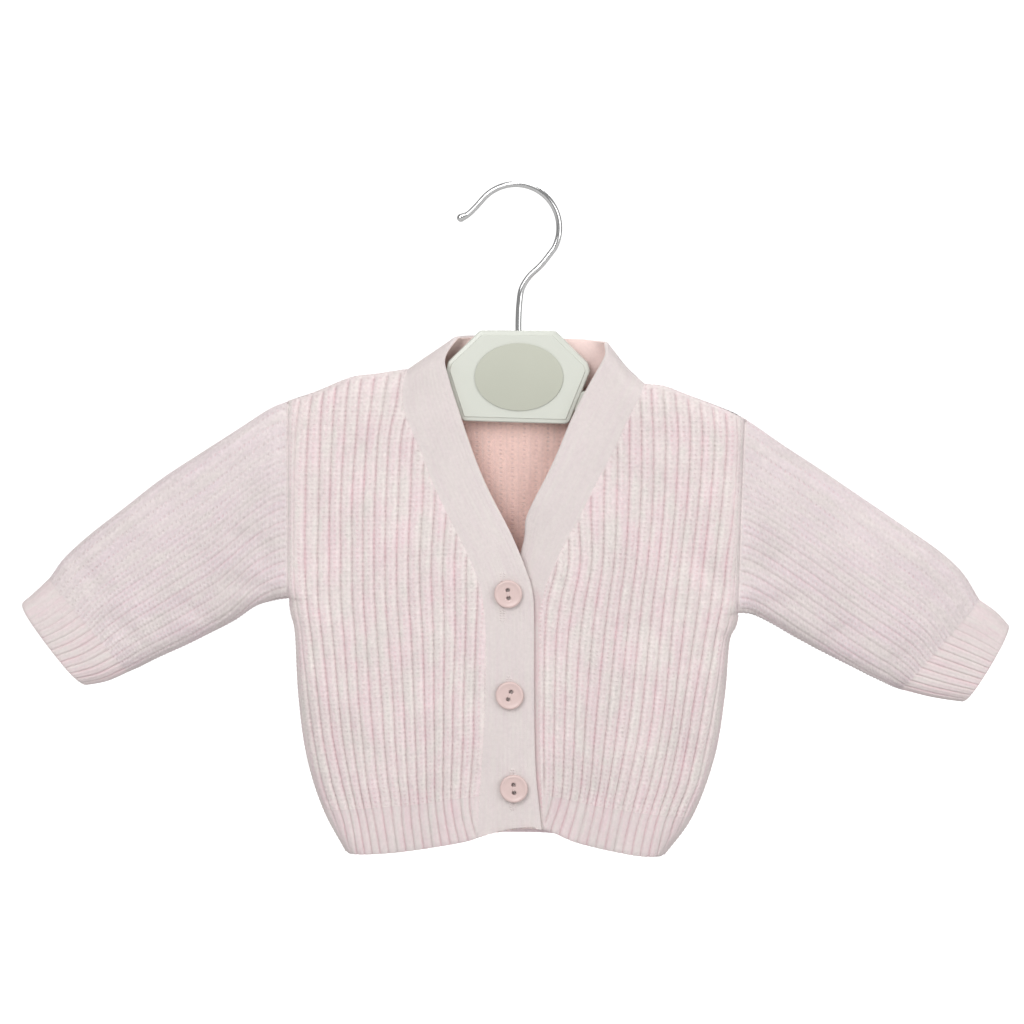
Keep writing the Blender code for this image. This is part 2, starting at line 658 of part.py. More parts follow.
def slab(name, outline, thick, bevel, collection):
    """A flat outline in the XZ plane, as thick in Y as given, with rounded edges."""
    curve = bpy.data.curves.new(name, "CURVE")
    curve.dimensions = "2D"
    curve.fill_mode = "BOTH"
    curve.extrude = thick / 2 * MM
    line = curve.splines.new("POLY")
    line.points.add(len(outline) - 1)
    for point, (x, z) in zip(line.points, outline):
        point.co = (x * MM, z * MM, 0.0, 1.0)
    line.use_cyclic_u = True
    flat = add_object(name + "_outline", curve, collection)
    settled = settled_mesh(flat)
    bpy.data.objects.remove(flat, do_unlink=True)
    bm = bmesh.new()
    bm.from_mesh(settled)
    bmesh.ops.remove_doubles(bm, verts=bm.verts, dist=0.00001)
    bmesh.ops.rotate(bm, verts=bm.verts, matrix=Matrix.Rotation(math.radians(90), 3, "X"))
    obj = add_object(name, mesh_from(bm, name), collection)
    modifier = obj.modifiers.new("Rounding", "BEVEL")
    modifier.width = bevel * MM
    modifier.segments = 2
    modifier.limit_method = "ANGLE"
    modifier.angle_limit = math.radians(50)
    return obj


def arm_outline():
    """Both arms in one outline: just under the shoulder line, thinner towards the tips."""
    reach = np.linspace(ARM_REACH[0], ARM_REACH[1], 15)
    neck = [SHOULDER["right"][-1], SHOULDER["left"][-1]]
    tops, lows = [], []
    for x in reach:
        level = float(height_at(x, CREST))
        if neck[0].x < x < neck[1].x:
            level = float(np.interp(x, [neck[0].x, neck[1].x], [neck[0].z, neck[1].z]))
        spread = abs(x) / max(abs(end) for end in ARM_REACH)
        high = ARM_HEIGHT[0] + (ARM_HEIGHT[1] - ARM_HEIGHT[0]) * spread
        tops.append((x, level - ARM_DROP))
        lows.append((x, level - ARM_DROP - high))
    return tops + lows[::-1]


def build_hanger(collection, cutters):
    """The moulded hanger: a head plate with two arms and a bore for the hook's stem."""
    hanger = slab("hanger", PLATE, PLATE_THICK, PLATE_BEVEL, collection)
    arms = slab("hanger_arms", arm_outline(), ARM_THICK, ARM_BEVEL, cutters)
    bm = bmesh.new()
    bore_depth = PLATE[0].z - STEM_ROUTE[0].z + SEAM_GAP
    bmesh.ops.create_cone(bm, cap_ends=True, segments=20, radius1=STEM_BORE * MM,
                          radius2=STEM_BORE * MM, depth=2 * bore_depth * MM)
    bmesh.ops.translate(bm, verts=bm.verts, vec=Vector((STEM_ROUTE[0].x, 0, PLATE[0].z)) * MM)
    bore = add_object("hanger_bore", mesh_from(bm, "hanger_bore"), cutters)
    for operation, other in (("UNION", arms), ("DIFFERENCE", bore)):
        modifier = hanger.modifiers.new(operation.title(), "BOOLEAN")
        modifier.operation = operation
        modifier.object = other
    settle(hanger)
    for obj in (arms, bore):
        bpy.data.objects.remove(obj, do_unlink=True)
    hanger.data.materials.clear()
    hanger.data.materials.append(make_material("hanger_finish", HANGER_WHITE))
    return hanger


def build_hook(collection):
    """The hook: round wire up from the plate, over the crown and out to a swollen tip."""
    angles = np.radians(np.arange(HOOK_TURN[0], HOOK_TURN[1] + 1.0, 8.0))
    crown = [(HOOK_CENTRE[0] + HOOK_RADIUS * math.cos(a), HOOK_CENTRE[1] + HOOK_RADIUS * math.sin(a))
             for a in angles]
    route = spline(list(STEM_ROUTE) + crown[:1], 2)[:-1]
    tip = spline(crown[-1:] + list(TIP_ROUTE), 2)[1:]
    route = np.vstack([route, crown, tip])
    curve = bpy.data.curves.new("hanger_hook", "CURVE")
    curve.dimensions = "3D"
    curve.bevel_depth = WIRE_RADIUS * MM
    curve.bevel_resolution = 2
    curve.use_fill_caps = True
    wire = curve.splines.new("POLY")
    wire.points.add(len(route) - 1)
    for point, (x, z) in zip(wire.points, route):
        point.co = (x * MM, 0.0, z * MM, 1.0)
    for point in wire.points[-2:]:
        point.radius = TIP_SWELL
    return add_object("hanger_hook", curve, collection, BRIGHT_WIRE)


def build_badge(collection):
    """The oval badge on the plate's face, left bare."""
    bm = bmesh.new()
    bmesh.ops.create_cone(bm, cap_ends=True, segments=48, radius1=0.5, radius2=0.5,
                          depth=BADGE_THICK * MM)
    shape = Matrix.Diagonal((BADGE_SIZE[0] * MM, BADGE_SIZE[1] * MM, 1.0, 1.0))
    upright = Matrix.Rotation(math.radians(90), 4, "X")
    front = -(PLATE_THICK / 2 + BADGE_CLEAR + BADGE_THICK / 2)
    place = Matrix.Translation(Vector((BADGE_CENTRE[0], front, BADGE_CENTRE[1])) * MM)
    bmesh.ops.transform(bm, matrix=place @ upright @ shape, verts=bm.verts)
    return add_object("hanger_badge", mesh_from(bm, "hanger_badge"), collection, BADGE_GREY)


def main():
    """Build the whole object."""
    clear_scene()
    collection = new_collection("baby_cardigan")
    cutters = new_collection("cutters")
    for side in ("right", "left"):
        build_front(side, collection)
        build_sleeve(side, collection)
        build_cuff(side, collection)
        build_front_welt(side, collection)
    build_back(collection)
    build_back_welt(collection)
    build_band(collection)
    build_buttons(collection, cutters)
    build_hanger(collection, cutters)
    build_hook(collection)
    build_badge(collection)


main()
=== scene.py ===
"""Looks of a newborn's rib-knit cardigan, buttoned up on a small moulded hanger.

Every cloth piece is a dense sheet on the form of its own solid. Its ribs run along the lines
that the tables of grooves give, its stitches are small V-shaped swellings on each rib, and its inner
face has the same rib turned inside out. Sizes in the tables are millimetres, in the frame of
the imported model: the fronts face -Y, and the wearer's right is at -X.
"""
import logging
import math
from dataclasses import dataclass, field
from enum import Enum
from typing import Callable, NamedTuple, Sequence

import bmesh
import bpy
import numpy as np
from mathutils import Matrix, Vector


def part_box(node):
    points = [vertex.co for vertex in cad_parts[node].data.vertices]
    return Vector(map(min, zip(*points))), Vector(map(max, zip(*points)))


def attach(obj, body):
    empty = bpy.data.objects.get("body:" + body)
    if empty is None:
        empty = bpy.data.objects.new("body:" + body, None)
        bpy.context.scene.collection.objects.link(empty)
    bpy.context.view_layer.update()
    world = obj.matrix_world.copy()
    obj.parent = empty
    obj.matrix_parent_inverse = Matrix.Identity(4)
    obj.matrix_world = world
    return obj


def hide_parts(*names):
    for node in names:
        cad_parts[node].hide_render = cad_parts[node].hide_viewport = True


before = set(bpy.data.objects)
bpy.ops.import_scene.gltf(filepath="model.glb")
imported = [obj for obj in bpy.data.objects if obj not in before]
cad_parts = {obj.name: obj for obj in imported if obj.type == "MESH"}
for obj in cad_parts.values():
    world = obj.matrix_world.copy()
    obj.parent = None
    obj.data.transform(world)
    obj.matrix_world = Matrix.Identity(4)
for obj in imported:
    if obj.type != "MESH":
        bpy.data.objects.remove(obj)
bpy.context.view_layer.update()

LOG = logging.getLogger("cardigan")
MM = 0.001
Array = np.ndarray


# ---------------------------------------------------------------- form of the garment

class Point(NamedTuple):
    """A point of a line in the garment's plane."""

    x: float
    z: float


class Depth(NamedTuple):
    """Half the body's depth at one height."""

    z: float
    half: float


class Strip(NamedTuple):
    """One section of the button band: where it is sewn on, and its free edge."""

    seam_x: float
    seam_z: float
    edge_x: float
    edge_z: float


class Section(NamedTuple):
    """One flattened ring of a sleeve or cuff."""

    top_x: float
    top_z: float
    low_x: float
    low_z: float
    half: float


class RibRow(NamedTuple):
    """Where some of the grooves between a panel's ribs are at one height."""

    z: float
    grooves: tuple


class Side(Enum):
    """The wearer's side of the garment, with the way that leads outwards in X."""

    RIGHT = -1
    LEFT = 1

    @property
    def label(self) -> str:
        """The side's word in the names of nodes."""
        return self.name.lower()


SHOULDER = {
    Side.RIGHT: (Point(-114.5, -106.5), Point(-101.0, -102.0), Point(-83.5, -94.8),
                 Point(-70.0, -92.8), Point(-55.0, -90.5)),
    Side.LEFT: (Point(113.5, -115.0), Point(100.5, -109.0), Point(82.5, -102.2),
                Point(73.0, -98.6), Point(63.5, -97.5)),
}
NECK_FOLD = {
    Side.RIGHT: (Point(-55.0, -90.5), Point(-44.6, -82.8), Point(-30.5, -73.5)),
    Side.LEFT: (Point(63.5, -97.5), Point(54.0, -89.0), Point(44.5, -76.0)),
}
UNDERARM = {Side.RIGHT: -205.5, Side.LEFT: -211.5}
SIDE_LINE = {
    Side.RIGHT: (Point(-114.5, -106.5), Point(-114.5, -156.0), Point(-114.5, -205.5),
                 Point(-111.6, -222.0), Point(-110.0, -253.0), Point(-106.0, -284.0),
                 Point(-97.7, -311.0), Point(-85.5, -333.8)),
    Side.LEFT: (Point(113.5, -115.0), Point(111.8, -163.0), Point(110.0, -211.5),
                Point(105.6, -225.0), Point(103.3, -252.0), Point(98.3, -283.0),
                Point(87.4, -313.0), Point(72.5, -333.8)),
}
FRONT_HEM = (Point(-85.5, -333.8), Point(-58.0, -331.8), Point(-27.0, -326.4),
             Point(-16.0, -322.7), Point(-6.5, -320.2), Point(2.0, -318.7), Point(9.0, -318.8),
             Point(17.0, -320.9), Point(31.0, -326.6), Point(56.5, -332.0), Point(72.5, -333.8))
BACK_HEM = (Point(-85.5, -333.8), Point(-50.0, -330.0), Point(-20.0, -324.2),
            Point(0.0, -323.2), Point(20.0, -324.0), Point(45.0, -329.0), Point(72.5, -333.8))
WELT_TOP = (Point(-97.7, -311.0), Point(-85.5, -310.4), Point(-52.0, -307.6),
            Point(-18.6, -302.8), Point(13.2, -302.4), Point(41.0, -307.6),
            Point(67.0, -311.4), Point(87.4, -313.0))
BACK_WELT_TOP = (Point(-97.7, -311.0), Point(-50.0, -307.2), Point(0.0, -303.4),
                 Point(45.0, -306.8), Point(87.4, -313.0))
BODY_DEPTH = (Depth(-334.0, 8.4), Depth(-311.0, 9.2), Depth(-290.0, 10.4),
              Depth(-250.0, 11.0), Depth(-205.0, 10.0), Depth(-160.0, 9.0),
              Depth(-115.0, 8.2), Depth(-75.0, 8.0))

# The band's two edges, up the right front, round the back of the neck and down the left one.
BAND_RIGHT = (
    Strip(-19.4, -325.2, 12.8, -321.2), Strip(-18.6, -308.0, 11.4, -308.0),
    Strip(-17.0, -287.0, 9.6, -287.0), Strip(-15.2, -255.0, 9.0, -255.0),
    Strip(-15.0, -222.0, 9.0, -220.0), Strip(-16.2, -207.0, 8.4, -202.5),
    Strip(-18.5, -196.0, 5.2, -190.5), Strip(-24.5, -181.0, -2.4, -172.0),
    Strip(-35.0, -160.5, -12.6, -152.5), Strip(-41.5, -147.0, -19.0, -138.5),
    Strip(-47.5, -131.0, -25.0, -122.0), Strip(-53.0, -118.5, -29.8, -107.5),
    Strip(-56.3, -108.5, -33.4, -96.0), Strip(-56.8, -99.0, -35.8, -86.0),
    Strip(-56.2, -94.4, -34.4, -80.0), Strip(-55.0, -90.5, -30.5, -73.5),
)
BAND_NECK = (
    Strip(-55.0, -90.5, -30.5, -73.5), Strip(-50.0, -92.8, -26.8, -73.2),
    Strip(-42.0, -95.4, -20.0, -73.3), Strip(-22.0, -98.2, -10.0, -73.8),
    Strip(5.0, -99.4, 6.0, -74.4), Strip(32.0, -99.2, 22.0, -75.0),
    Strip(50.0, -98.8, 34.0, -75.4), Strip(58.5, -98.3, 40.4, -75.8),
    Strip(63.5, -97.5, 44.5, -76.0),
)
BAND_LEFT = (
    Strip(63.5, -97.5, 44.5, -76.0), Strip(62.8, -100.2, 44.2, -80.0),
    Strip(61.2, -103.6, 42.6, -85.5), Strip(55.5, -114.0, 34.5, -100.0),
    Strip(49.5, -127.5, 27.0, -115.0), Strip(43.0, -140.0, 21.3, -128.8),
    Strip(37.0, -151.5, 15.4, -141.8), Strip(30.5, -165.0, 8.4, -155.4),
    Strip(25.5, -173.5, 4.4, -165.0), Strip(20.0, -184.5, 3.2, -175.0),
    Strip(15.0, -197.0, -1.5, -190.0), Strip(12.3, -208.0, -8.0, -205.0),
    Strip(11.6, -224.0, -11.6, -222.0), Strip(11.5, -255.0, -12.5, -255.0),
    Strip(12.2, -290.0, -11.8, -290.0), Strip(13.6, -321.4, -12.0, -322.6),
)

SLEEVE = {
    Side.RIGHT: (
        Section(-114.9, -106.6, -114.9, -205.3, 8.3), Section(-123.5, -110.0, -121.5, -206.0, 8.8),
        Section(-137.0, -118.6, -131.0, -209.0, 9.4), Section(-155.5, -130.5, -142.5, -216.6, 9.8),
        Section(-178.5, -145.5, -157.5, -224.4, 9.9), Section(-198.0, -160.6, -172.0, -231.4, 9.7),
        Section(-215.5, -174.2, -183.5, -236.8, 9.3), Section(-227.8, -185.4, -190.4, -240.2, 8.9),
        Section(-235.3, -195.5, -195.5, -242.5, 8.6),
    ),
    Side.LEFT: (
        Section(113.9, -115.1, 110.4, -211.3, 8.3), Section(119.5, -118.8, 116.0, -211.8, 8.8),
        Section(132.0, -127.5, 124.5, -215.2, 9.4), Section(152.0, -140.5, 139.0, -223.4, 9.8),
        Section(172.5, -154.5, 154.0, -231.2, 9.9), Section(193.0, -168.3, 168.5, -238.6, 9.7),
        Section(209.5, -179.8, 180.0, -244.2, 9.3), Section(221.0, -190.5, 186.4, -247.2, 8.9),
        Section(229.5, -204.0, 191.0, -249.0, 8.6),
    ),
}
CUFF = {
    Side.RIGHT: (
        Section(-235.32, -195.52, -195.52, -242.51, 8.5), Section(-243.0, -202.8, -206.6, -247.4, 8.3),
        Section(-249.8, -208.6, -218.3, -249.8, 8.0),
    ),
    Side.LEFT: (
        Section(229.52, -204.01, 191.02, -249.01, 8.5), Section(237.6, -209.8, 206.0, -252.4, 8.3),
        Section(244.4, -217.0, 222.4, -254.8, 8.0),
    ),
}

# Which grooves the rows below give, counted from the side towards the button band.
GROOVES = (0, 2, 5, 8, 11, 14, 17)
FRONT_RIBS = {
    Side.RIGHT: (
        RibRow(-80.0, (-106.5, -95.5, -76.5, -57.0, -38.0, -18.5, 0.0)),
        RibRow(-105.5, (-108.5, -97.0, -78.5, -59.5, -40.5, -21.5, -3.0)),
        RibRow(-125.5, (-110.5, -98.0, -80.0, -63.5, -45.5, -27.5, -9.5)),
        RibRow(-155.5, (-112.0, -98.7, -82.0, -65.0, -46.7, -28.5, -10.5)),
        RibRow(-185.5, (-111.8, -99.3, -82.0, -65.5, -48.2, -30.7, -13.0)),
        RibRow(-205.5, (-110.5, -99.0, -81.8, -65.2, -47.8, -30.5, -13.5)),
        RibRow(-225.5, (-108.0, -97.0, -80.4, -63.8, -46.6, -30.4, -15.0)),
        RibRow(-255.5, (-104.3, -93.8, -78.7, -61.5, -45.7, -31.4, -15.8)),
        RibRow(-275.5, (-101.7, -91.6, -77.0, -60.5, -45.1, -31.6, -16.0)),
        RibRow(-295.5, (-98.0, -87.5, -74.8, -59.1, -44.9, -32.3, -17.8)),
        RibRow(-305.5, (-95.3, -85.2, -73.2, -57.8, -44.6, -32.4, -18.8)),
        RibRow(-315.5, (-91.5, -82.8, -71.2, -57.4, -43.8, -31.2, -17.8)),
        RibRow(-325.5, (-89.0, -81.2, -69.5, -56.2, -42.6, -29.0, -14.8)),
        RibRow(-338.0, (-86.5, -79.5, -67.5, -54.5, -40.5, -26.5, -11.5)),
    ),
    Side.LEFT: (
        RibRow(-90.0, (113.5, 102.5, 84.4, 66.0, 50.0, 33.5, 22.5)),
        RibRow(-105.5, (114.5, 103.3, 85.2, 67.0, 50.5, 33.5, 17.5)),
        RibRow(-125.5, (116.0, 104.3, 86.2, 68.0, 50.2, 32.5, 15.5)),
        RibRow(-155.5, (115.0, 102.0, 84.7, 67.7, 49.9, 30.5, 14.0)),
        RibRow(-185.5, (109.9, 98.7, 81.4, 65.3, 48.6, 31.8, 14.5)),
        RibRow(-205.5, (107.9, 96.6, 79.0, 62.6, 45.9, 28.3, 9.5)),
        RibRow(-225.5, (104.0, 93.5, 76.9, 60.5, 43.5, 25.5, 8.5)),
        RibRow(-255.5, (99.0, 88.4, 74.2, 57.6, 40.6, 24.4, 8.5)),
        RibRow(-275.5, (95.0, 85.2, 71.3, 54.8, 38.8, 23.9, 8.5)),
        RibRow(-295.5, (90.8, 81.0, 67.0, 50.9, 37.2, 23.3, 9.0)),
        RibRow(-305.5, (86.8, 77.8, 64.2, 48.7, 35.4, 22.0, 8.5)),
        RibRow(-315.5, (83.0, 74.3, 61.0, 47.0, 33.2, 18.8, 6.5)),
        RibRow(-325.5, (80.0, 71.9, 58.6, 44.9, 30.5, 15.5, 2.0)),
        RibRow(-338.0, (76.5, 69.5, 56.5, 42.5, 28.0, 13.0, -1.0)),
    ),
}
BACK_GROOVES = (-20, 0, 20)
BACK_RIBS = (
    RibRow(-80.0, (-124.0, 0.0, 124.0)), RibRow(-95.0, (-122.0, 0.0, 122.0)),
    RibRow(-160.0, (-116.0, -0.2, 116.0)), RibRow(-255.0, (-106.0, -0.6, 105.0)),
    RibRow(-295.0, (-96.0, -1.0, 94.0)), RibRow(-320.0, (-89.5, -1.0, 87.0)),
    RibRow(-340.0, (-85.0, -1.0, 83.0)),
)

# How far a sleeve's ribs are turned round it, in ribs, at shares of its length.
SLEEVE_TURN = {
    Side.RIGHT: ((0.0, -1.05), (0.12, -0.75), (0.28, -0.3), (0.45, 0.0), (1.0, 0.15)),
    Side.LEFT: ((0.0, -0.45), (0.3, -0.25), (0.6, 0.25), (1.0, 0.85)),
}


def spline(rows: Sequence[Sequence[float]], steps: int) -> Array:
    """Points of a Catmull-Rom curve.

    Args:
        rows: the points that it runs through.
        steps: how many points it has between two of them.

    Returns:
        An array of points.
    """
    rows = np.array(rows, dtype=float)
    ahead = np.vstack([2 * rows[0] - rows[1], rows, 2 * rows[-1] - rows[-2]])
    t = (np.arange(steps) / steps)[:, None]
    stretches = [0.5 * (2 * start + (end - before) * t
                        + (2 * before - 5 * start + 4 * end - after) * t ** 2
                        + (3 * start - before - 3 * end + after) * t ** 3)
                 for before, start, end, after in zip(ahead, ahead[1:], ahead[2:], ahead[3:])]
    return np.vstack(stretches + [rows[-1:]])


def lengths_along(points: Array) -> Array:
    """Distance of each point of a polyline from its first one."""
    return np.concatenate([[0.0], np.cumsum(np.linalg.norm(np.diff(points, axis=0), axis=1))])


def at_fractions(points: Array, fractions: Array) -> Array:
    """Points of a polyline at fractions of its length."""
    lengths = lengths_along(points)
    return np.stack([np.interp(fractions * lengths[-1], lengths, column) for column in points.T],
                    axis=-1)


def read_line(line: Array, value: Array, by: int = 0, give: int = 1) -> Array:
    """Read one coordinate of a polyline where another one has a value.

    Args:
        line: the polyline, which runs one way along the coordinate it is read by.
        value: where it is read.
        by: index of the coordinate it is read by.
        give: index of the coordinate that is wanted.

    Returns:
        The wanted coordinate at each value.
    """
    order = np.argsort(line[:, by])
    return np.interp(value, line[order, by], line[order, give])


def round_over(distance: Array, radius: float) -> Array:
    """0 at an edge and 1 from a radius inwards, along a quarter of a circle."""
    reach = np.clip(distance / radius, 0.0, 1.0)
    return np.sqrt(1.0 - (1.0 - reach) ** 2)


def ease(value: Array) -> Array:
    """0 below 0, 1 above 1, and a smooth step between."""
    value = np.clip(value, 0.0, 1.0)
    return value * value * (3.0 - 2.0 * value)


def wander(a: Array, b: Array, seed: int) -> Array:
    """A slow, smooth unevenness from -1 to 1 over two coordinates in millimetres."""
    rng = np.random.default_rng(seed)
    total = np.zeros(np.broadcast(a, b).shape)
    for wave in (61.0, 37.0, 23.0, 14.0):
        turn, start = rng.uniform(0.0, 2 * math.pi, 2)
        total = total + wave * np.sin((a * math.cos(turn) + b * math.sin(turn))
                                      * 2 * math.pi / wave + start)
    return total / 135.0


@dataclass(frozen=True)
class Crease:
    """A soft trough in the cloth, between two points of the garment's plane."""

    start: Point
    end: Point
    width: float
    depth: float

    def at(self, x: Array, z: Array) -> Array:
        """How far the trough takes the surface in at each place."""
        run = np.array([self.end.x - self.start.x, self.end.z - self.start.z])
        along = ((x - self.start.x) * run[0] + (z - self.start.z) * run[1]) / (run @ run)
        held = np.clip(along, 0.0, 1.0)
        gap = np.hypot(x - self.start.x - held * run[0], z - self.start.z - held * run[1])
        bulk = np.exp(-(gap / self.width) ** 2) * np.sqrt(np.clip(1.0 - np.abs(2 * held - 1), 0, 1))
        return self.depth * bulk


BODY_CREASES = (
    Crease(Point(-111.0, -196.0), Point(-84.0, -172.0), 5.5, 1.3),
    Crease(Point(-110.0, -214.0), Point(-92.0, -246.0), 6.0, 1.0),
    Crease(Point(-96.0, -262.0), Point(-62.0, -290.0), 7.5, 0.9),
    Crease(Point(-60.0, -116.0), Point(-78.0, -150.0), 8.0, 0.8),
    Crease(Point(-30.0, -214.0), Point(-22.0, -262.0), 6.5, 0.7),
    Crease(Point(108.0, -202.0), Point(84.0, -180.0), 5.5, 1.4),
    Crease(Point(104.0, -220.0), Point(80.0, -246.0), 6.5, 1.1),
    Crease(Point(92.0, -276.0), Point(58.0, -296.0), 7.5, 1.0),
    Crease(Point(70.0, -118.0), Point(86.0, -150.0), 8.0, 0.8),
    Crease(Point(24.0, -192.0), Point(17.0, -250.0), 6.0, 0.9),
    Crease(Point(-50.0, -246.0), Point(-40.0, -296.0), 9.0, -0.8),
    Crease(Point(48.0, -220.0), Point(42.0, -286.0), 10.0, -0.8),
)
SLEEVE_CREASES = {
    Side.RIGHT: (
        Crease(Point(-118.0, -200.0), Point(-150.0, -196.0), 5.0, 1.5),
        Crease(Point(-120.0, -186.0), Point(-148.0, -168.0), 6.5, 1.0),
        Crease(Point(-150.0, -216.0), Point(-172.0, -207.0), 4.5, 1.2),
        Crease(Point(-184.0, -232.0), Point(-206.0, -212.0), 4.5, 1.2),
        Crease(Point(-222.0, -184.0), Point(-205.0, -206.0), 5.0, 1.1),
        Crease(Point(-168.0, -146.0), Point(-186.0, -170.0), 8.0, 0.8),
        Crease(Point(-134.0, -128.0), Point(-126.0, -152.0), 7.0, -0.8),
    ),
    Side.LEFT: (
        Crease(Point(114.0, -206.0), Point(146.0, -203.0), 5.0, 1.5),
        Crease(Point(118.0, -192.0), Point(142.0, -176.0), 6.5, 1.1),
        Crease(Point(148.0, -224.0), Point(171.0, -216.0), 4.5, 1.3),
        Crease(Point(181.0, -240.0), Point(203.0, -222.0), 4.5, 1.2),
        Crease(Point(217.0, -192.0), Point(200.0, -212.0), 5.0, 1.1),
        Crease(Point(163.0, -154.0), Point(180.0, -178.0), 8.0, 0.8),
        Crease(Point(128.0, -136.0), Point(122.0, -158.0), 7.0, -0.8),
    ),
}


def creased(creases: Sequence[Crease], x: Array, z: Array) -> Array:
    """How far a set of creases takes a surface in."""
    return sum((crease.at(x, z) for crease in creases), np.zeros(np.broadcast(x, z).shape))


@dataclass
class BodyForm:
    """The garment's body: how far its outer surface is from the middle plane."""

    half_gap: float = 0.2
    edge_round: float = 11.0
    side_round: float = 13.0
    lap: float = 1.35
    lap_fade: float = 40.0
    lap_low: float = -178.0
    lap_high: float = -140.0
    lap_edge: dict = field(default_factory=lambda: {Side.RIGHT: -20.0, Side.LEFT: 16.0})

    def __post_init__(self) -> None:
        """Work out the lines that the form is read from."""
        self.crest = np.vstack([spline(SHOULDER[Side.RIGHT], 8), spline(NECK_FOLD[Side.RIGHT], 8),
                                spline(NECK_FOLD[Side.LEFT], 8)[::-1],
                                spline(SHOULDER[Side.LEFT], 8)[::-1]])
        self.side = {side: spline(rows, 8) for side, rows in SIDE_LINE.items()}
        self.depth = spline(BODY_DEPTH, 8)
        self.neck_seam = spline([(row.seam_x, row.seam_z) for row in BAND_NECK], 8)
        self.band_seam = {
            side: spline([(row.seam_x, row.seam_z) for row in rows], 8)
            for side, rows in ((Side.RIGHT, BAND_RIGHT), (Side.LEFT, BAND_LEFT))}
        self.front_hem = spline(FRONT_HEM, 8)
        self.back_hem = spline(BACK_HEM, 8)
        self.front_welt = spline(WELT_TOP, 8)
        self.back_welt = spline(BACK_WELT_TOP, 8)

    def crest_z(self, x: Array) -> Array:
        """Height of the shoulders and the neck's folds at x."""
        return read_line(self.crest, x)

    def back_top_z(self, x: Array) -> Array:
        """Height of the back's upper edge at x: the shoulders, and the neck seam between."""
        left, right = self.neck_seam[-1, 0], self.neck_seam[0, 0]
        between = (x > right) & (x < left)
        return np.where(between, read_line(self.neck_seam, x), self.crest_z(x))

    def side_x(self, side: Side, z: Array) -> Array:
        """X of the armhole and side seam at a height."""
        return read_line(self.side[side], z, 1, 0)

    def half_depth(self, x: Array, z: Array) -> Array:
        """How far the surface stands from the middle plane."""
        right = x < 0.0
        seam = np.where(right, self.side_x(Side.RIGHT, z), self.side_x(Side.LEFT, z))
        under = np.where(right, UNDERARM[Side.RIGHT], UNDERARM[Side.LEFT])
        full = read_line(self.depth, z)
        at_edge = full * round_over(z - under, self.edge_round)
        across = at_edge + (full - at_edge) * round_over(np.abs(seam) - np.abs(x), self.side_round)
        return self.half_gap + across * round_over(self.crest_z(x) - z, self.edge_round)

    def lap_at(self, side: Side, x: Array, z: Array) -> Array:
        """How far a front stands out, or in, so that the two bands lie on each other."""
        past = (x - self.lap_edge[side]) * side.value
        height = ease((self.lap_high - z) / (self.lap_high - self.lap_low))
        return -side.value * self.lap * ease(1.0 - past / self.lap_fade) * height

    def front(self, side: Side) -> Callable[[Array, Array], Array]:
        """The depth of one front as a function of x and z."""
        return lambda x, z: (self.half_depth(x, z) + self.lap_at(side, x, z)
                             - creased(BODY_CREASES, x, z) * self.soften(x, z))

    def back(self) -> Callable[[Array, Array], Array]:
        """The depth of the back as a function of x and z."""
        return lambda x, z: (self.half_depth(x, z)
                             - creased(BODY_CREASES, -x - 3.0, z) * self.soften(x, z))

    def soften(self, x: Array, z: Array) -> Array:
        """0 where the surface turns over at an edge and 1 on its flat part."""
        right = x < 0.0
        seam = np.where(right, self.side_x(Side.RIGHT, z), self.side_x(Side.LEFT, z))
        return ease((np.abs(seam) - np.abs(x)) / 9.0) * ease((self.crest_z(x) - z) / 9.0)


BODY = BodyForm()


# ---------------------------------------------------------------- knitted relief

@dataclass(frozen=True)
class Rib:
    """The relief of one kind of rib.

    Attributes:
        steps: how far across the rib each column of points is, from groove to groove.
        rise: height of the rib over its groove.
        sharp: how square the rib is; a high number makes a narrow groove.
        dip: depth of the faint line along its middle.
        stitch: height of a stitch.
        vee: how far a stitch's arms reach up at the groove.
        length: length of one stitch along the rib.
        rows: rows of points in one stitch.
        inner: height of the rib on the inner face.
        midline: how much painted shade is put on the line down its middle.
    """

    steps: tuple
    rise: float
    sharp: float
    dip: float
    stitch: float
    vee: float
    length: float
    rows: int
    inner: float
    midline: float = 0.0

    def profile(self, t: Array) -> Array:
        """Height across the rib, from about -0.6 to 0.4 of its rise."""
        across = np.abs(2.0 * t - 1.0)
        dome = np.clip(1.0 - across ** self.sharp, 0.0, 1.0) ** 0.8
        return self.rise * (dome - 0.62) - self.dip * np.exp(-(across / 0.2) ** 2)

    def inside(self, t: Array) -> Array:
        """Height of the inner face's rib, which lies between two outer ones."""
        across = np.abs(2.0 * ((t + 0.5) % 1.0) - 1.0)
        return self.inner * (1.0 - across ** 3)

    def stitches(self, t: Array, row: Array) -> Array:
        """Height of the stitches: a swelling for each, deepest between two of them."""
        phase = (row % self.rows) / self.rows
        across = np.abs(2.0 * t - 1.0)
        lobes = 0.55 + 0.45 * np.sin(math.pi * np.clip(across * 1.25, 0.0, 1.0))
        return self.stitch * lobes * (0.5 - 0.5 * np.cos(2 * math.pi * phase) - 0.5)

    def shade(self, t: Array) -> Array:
        """Painted shade: 1 in the grooves, and the rib's own share down its middle."""
        across = np.abs(2.0 * t - 1.0)
        return np.maximum(groove_mask(t), self.midline * np.exp(-(across / 0.24) ** 2))

    def shift(self, t: Array) -> Array:
        """How far a row of points is moved along the rib, so that its stitches are Vs."""
        return self.vee * (np.abs(2.0 * t - 1.0) - 0.5)


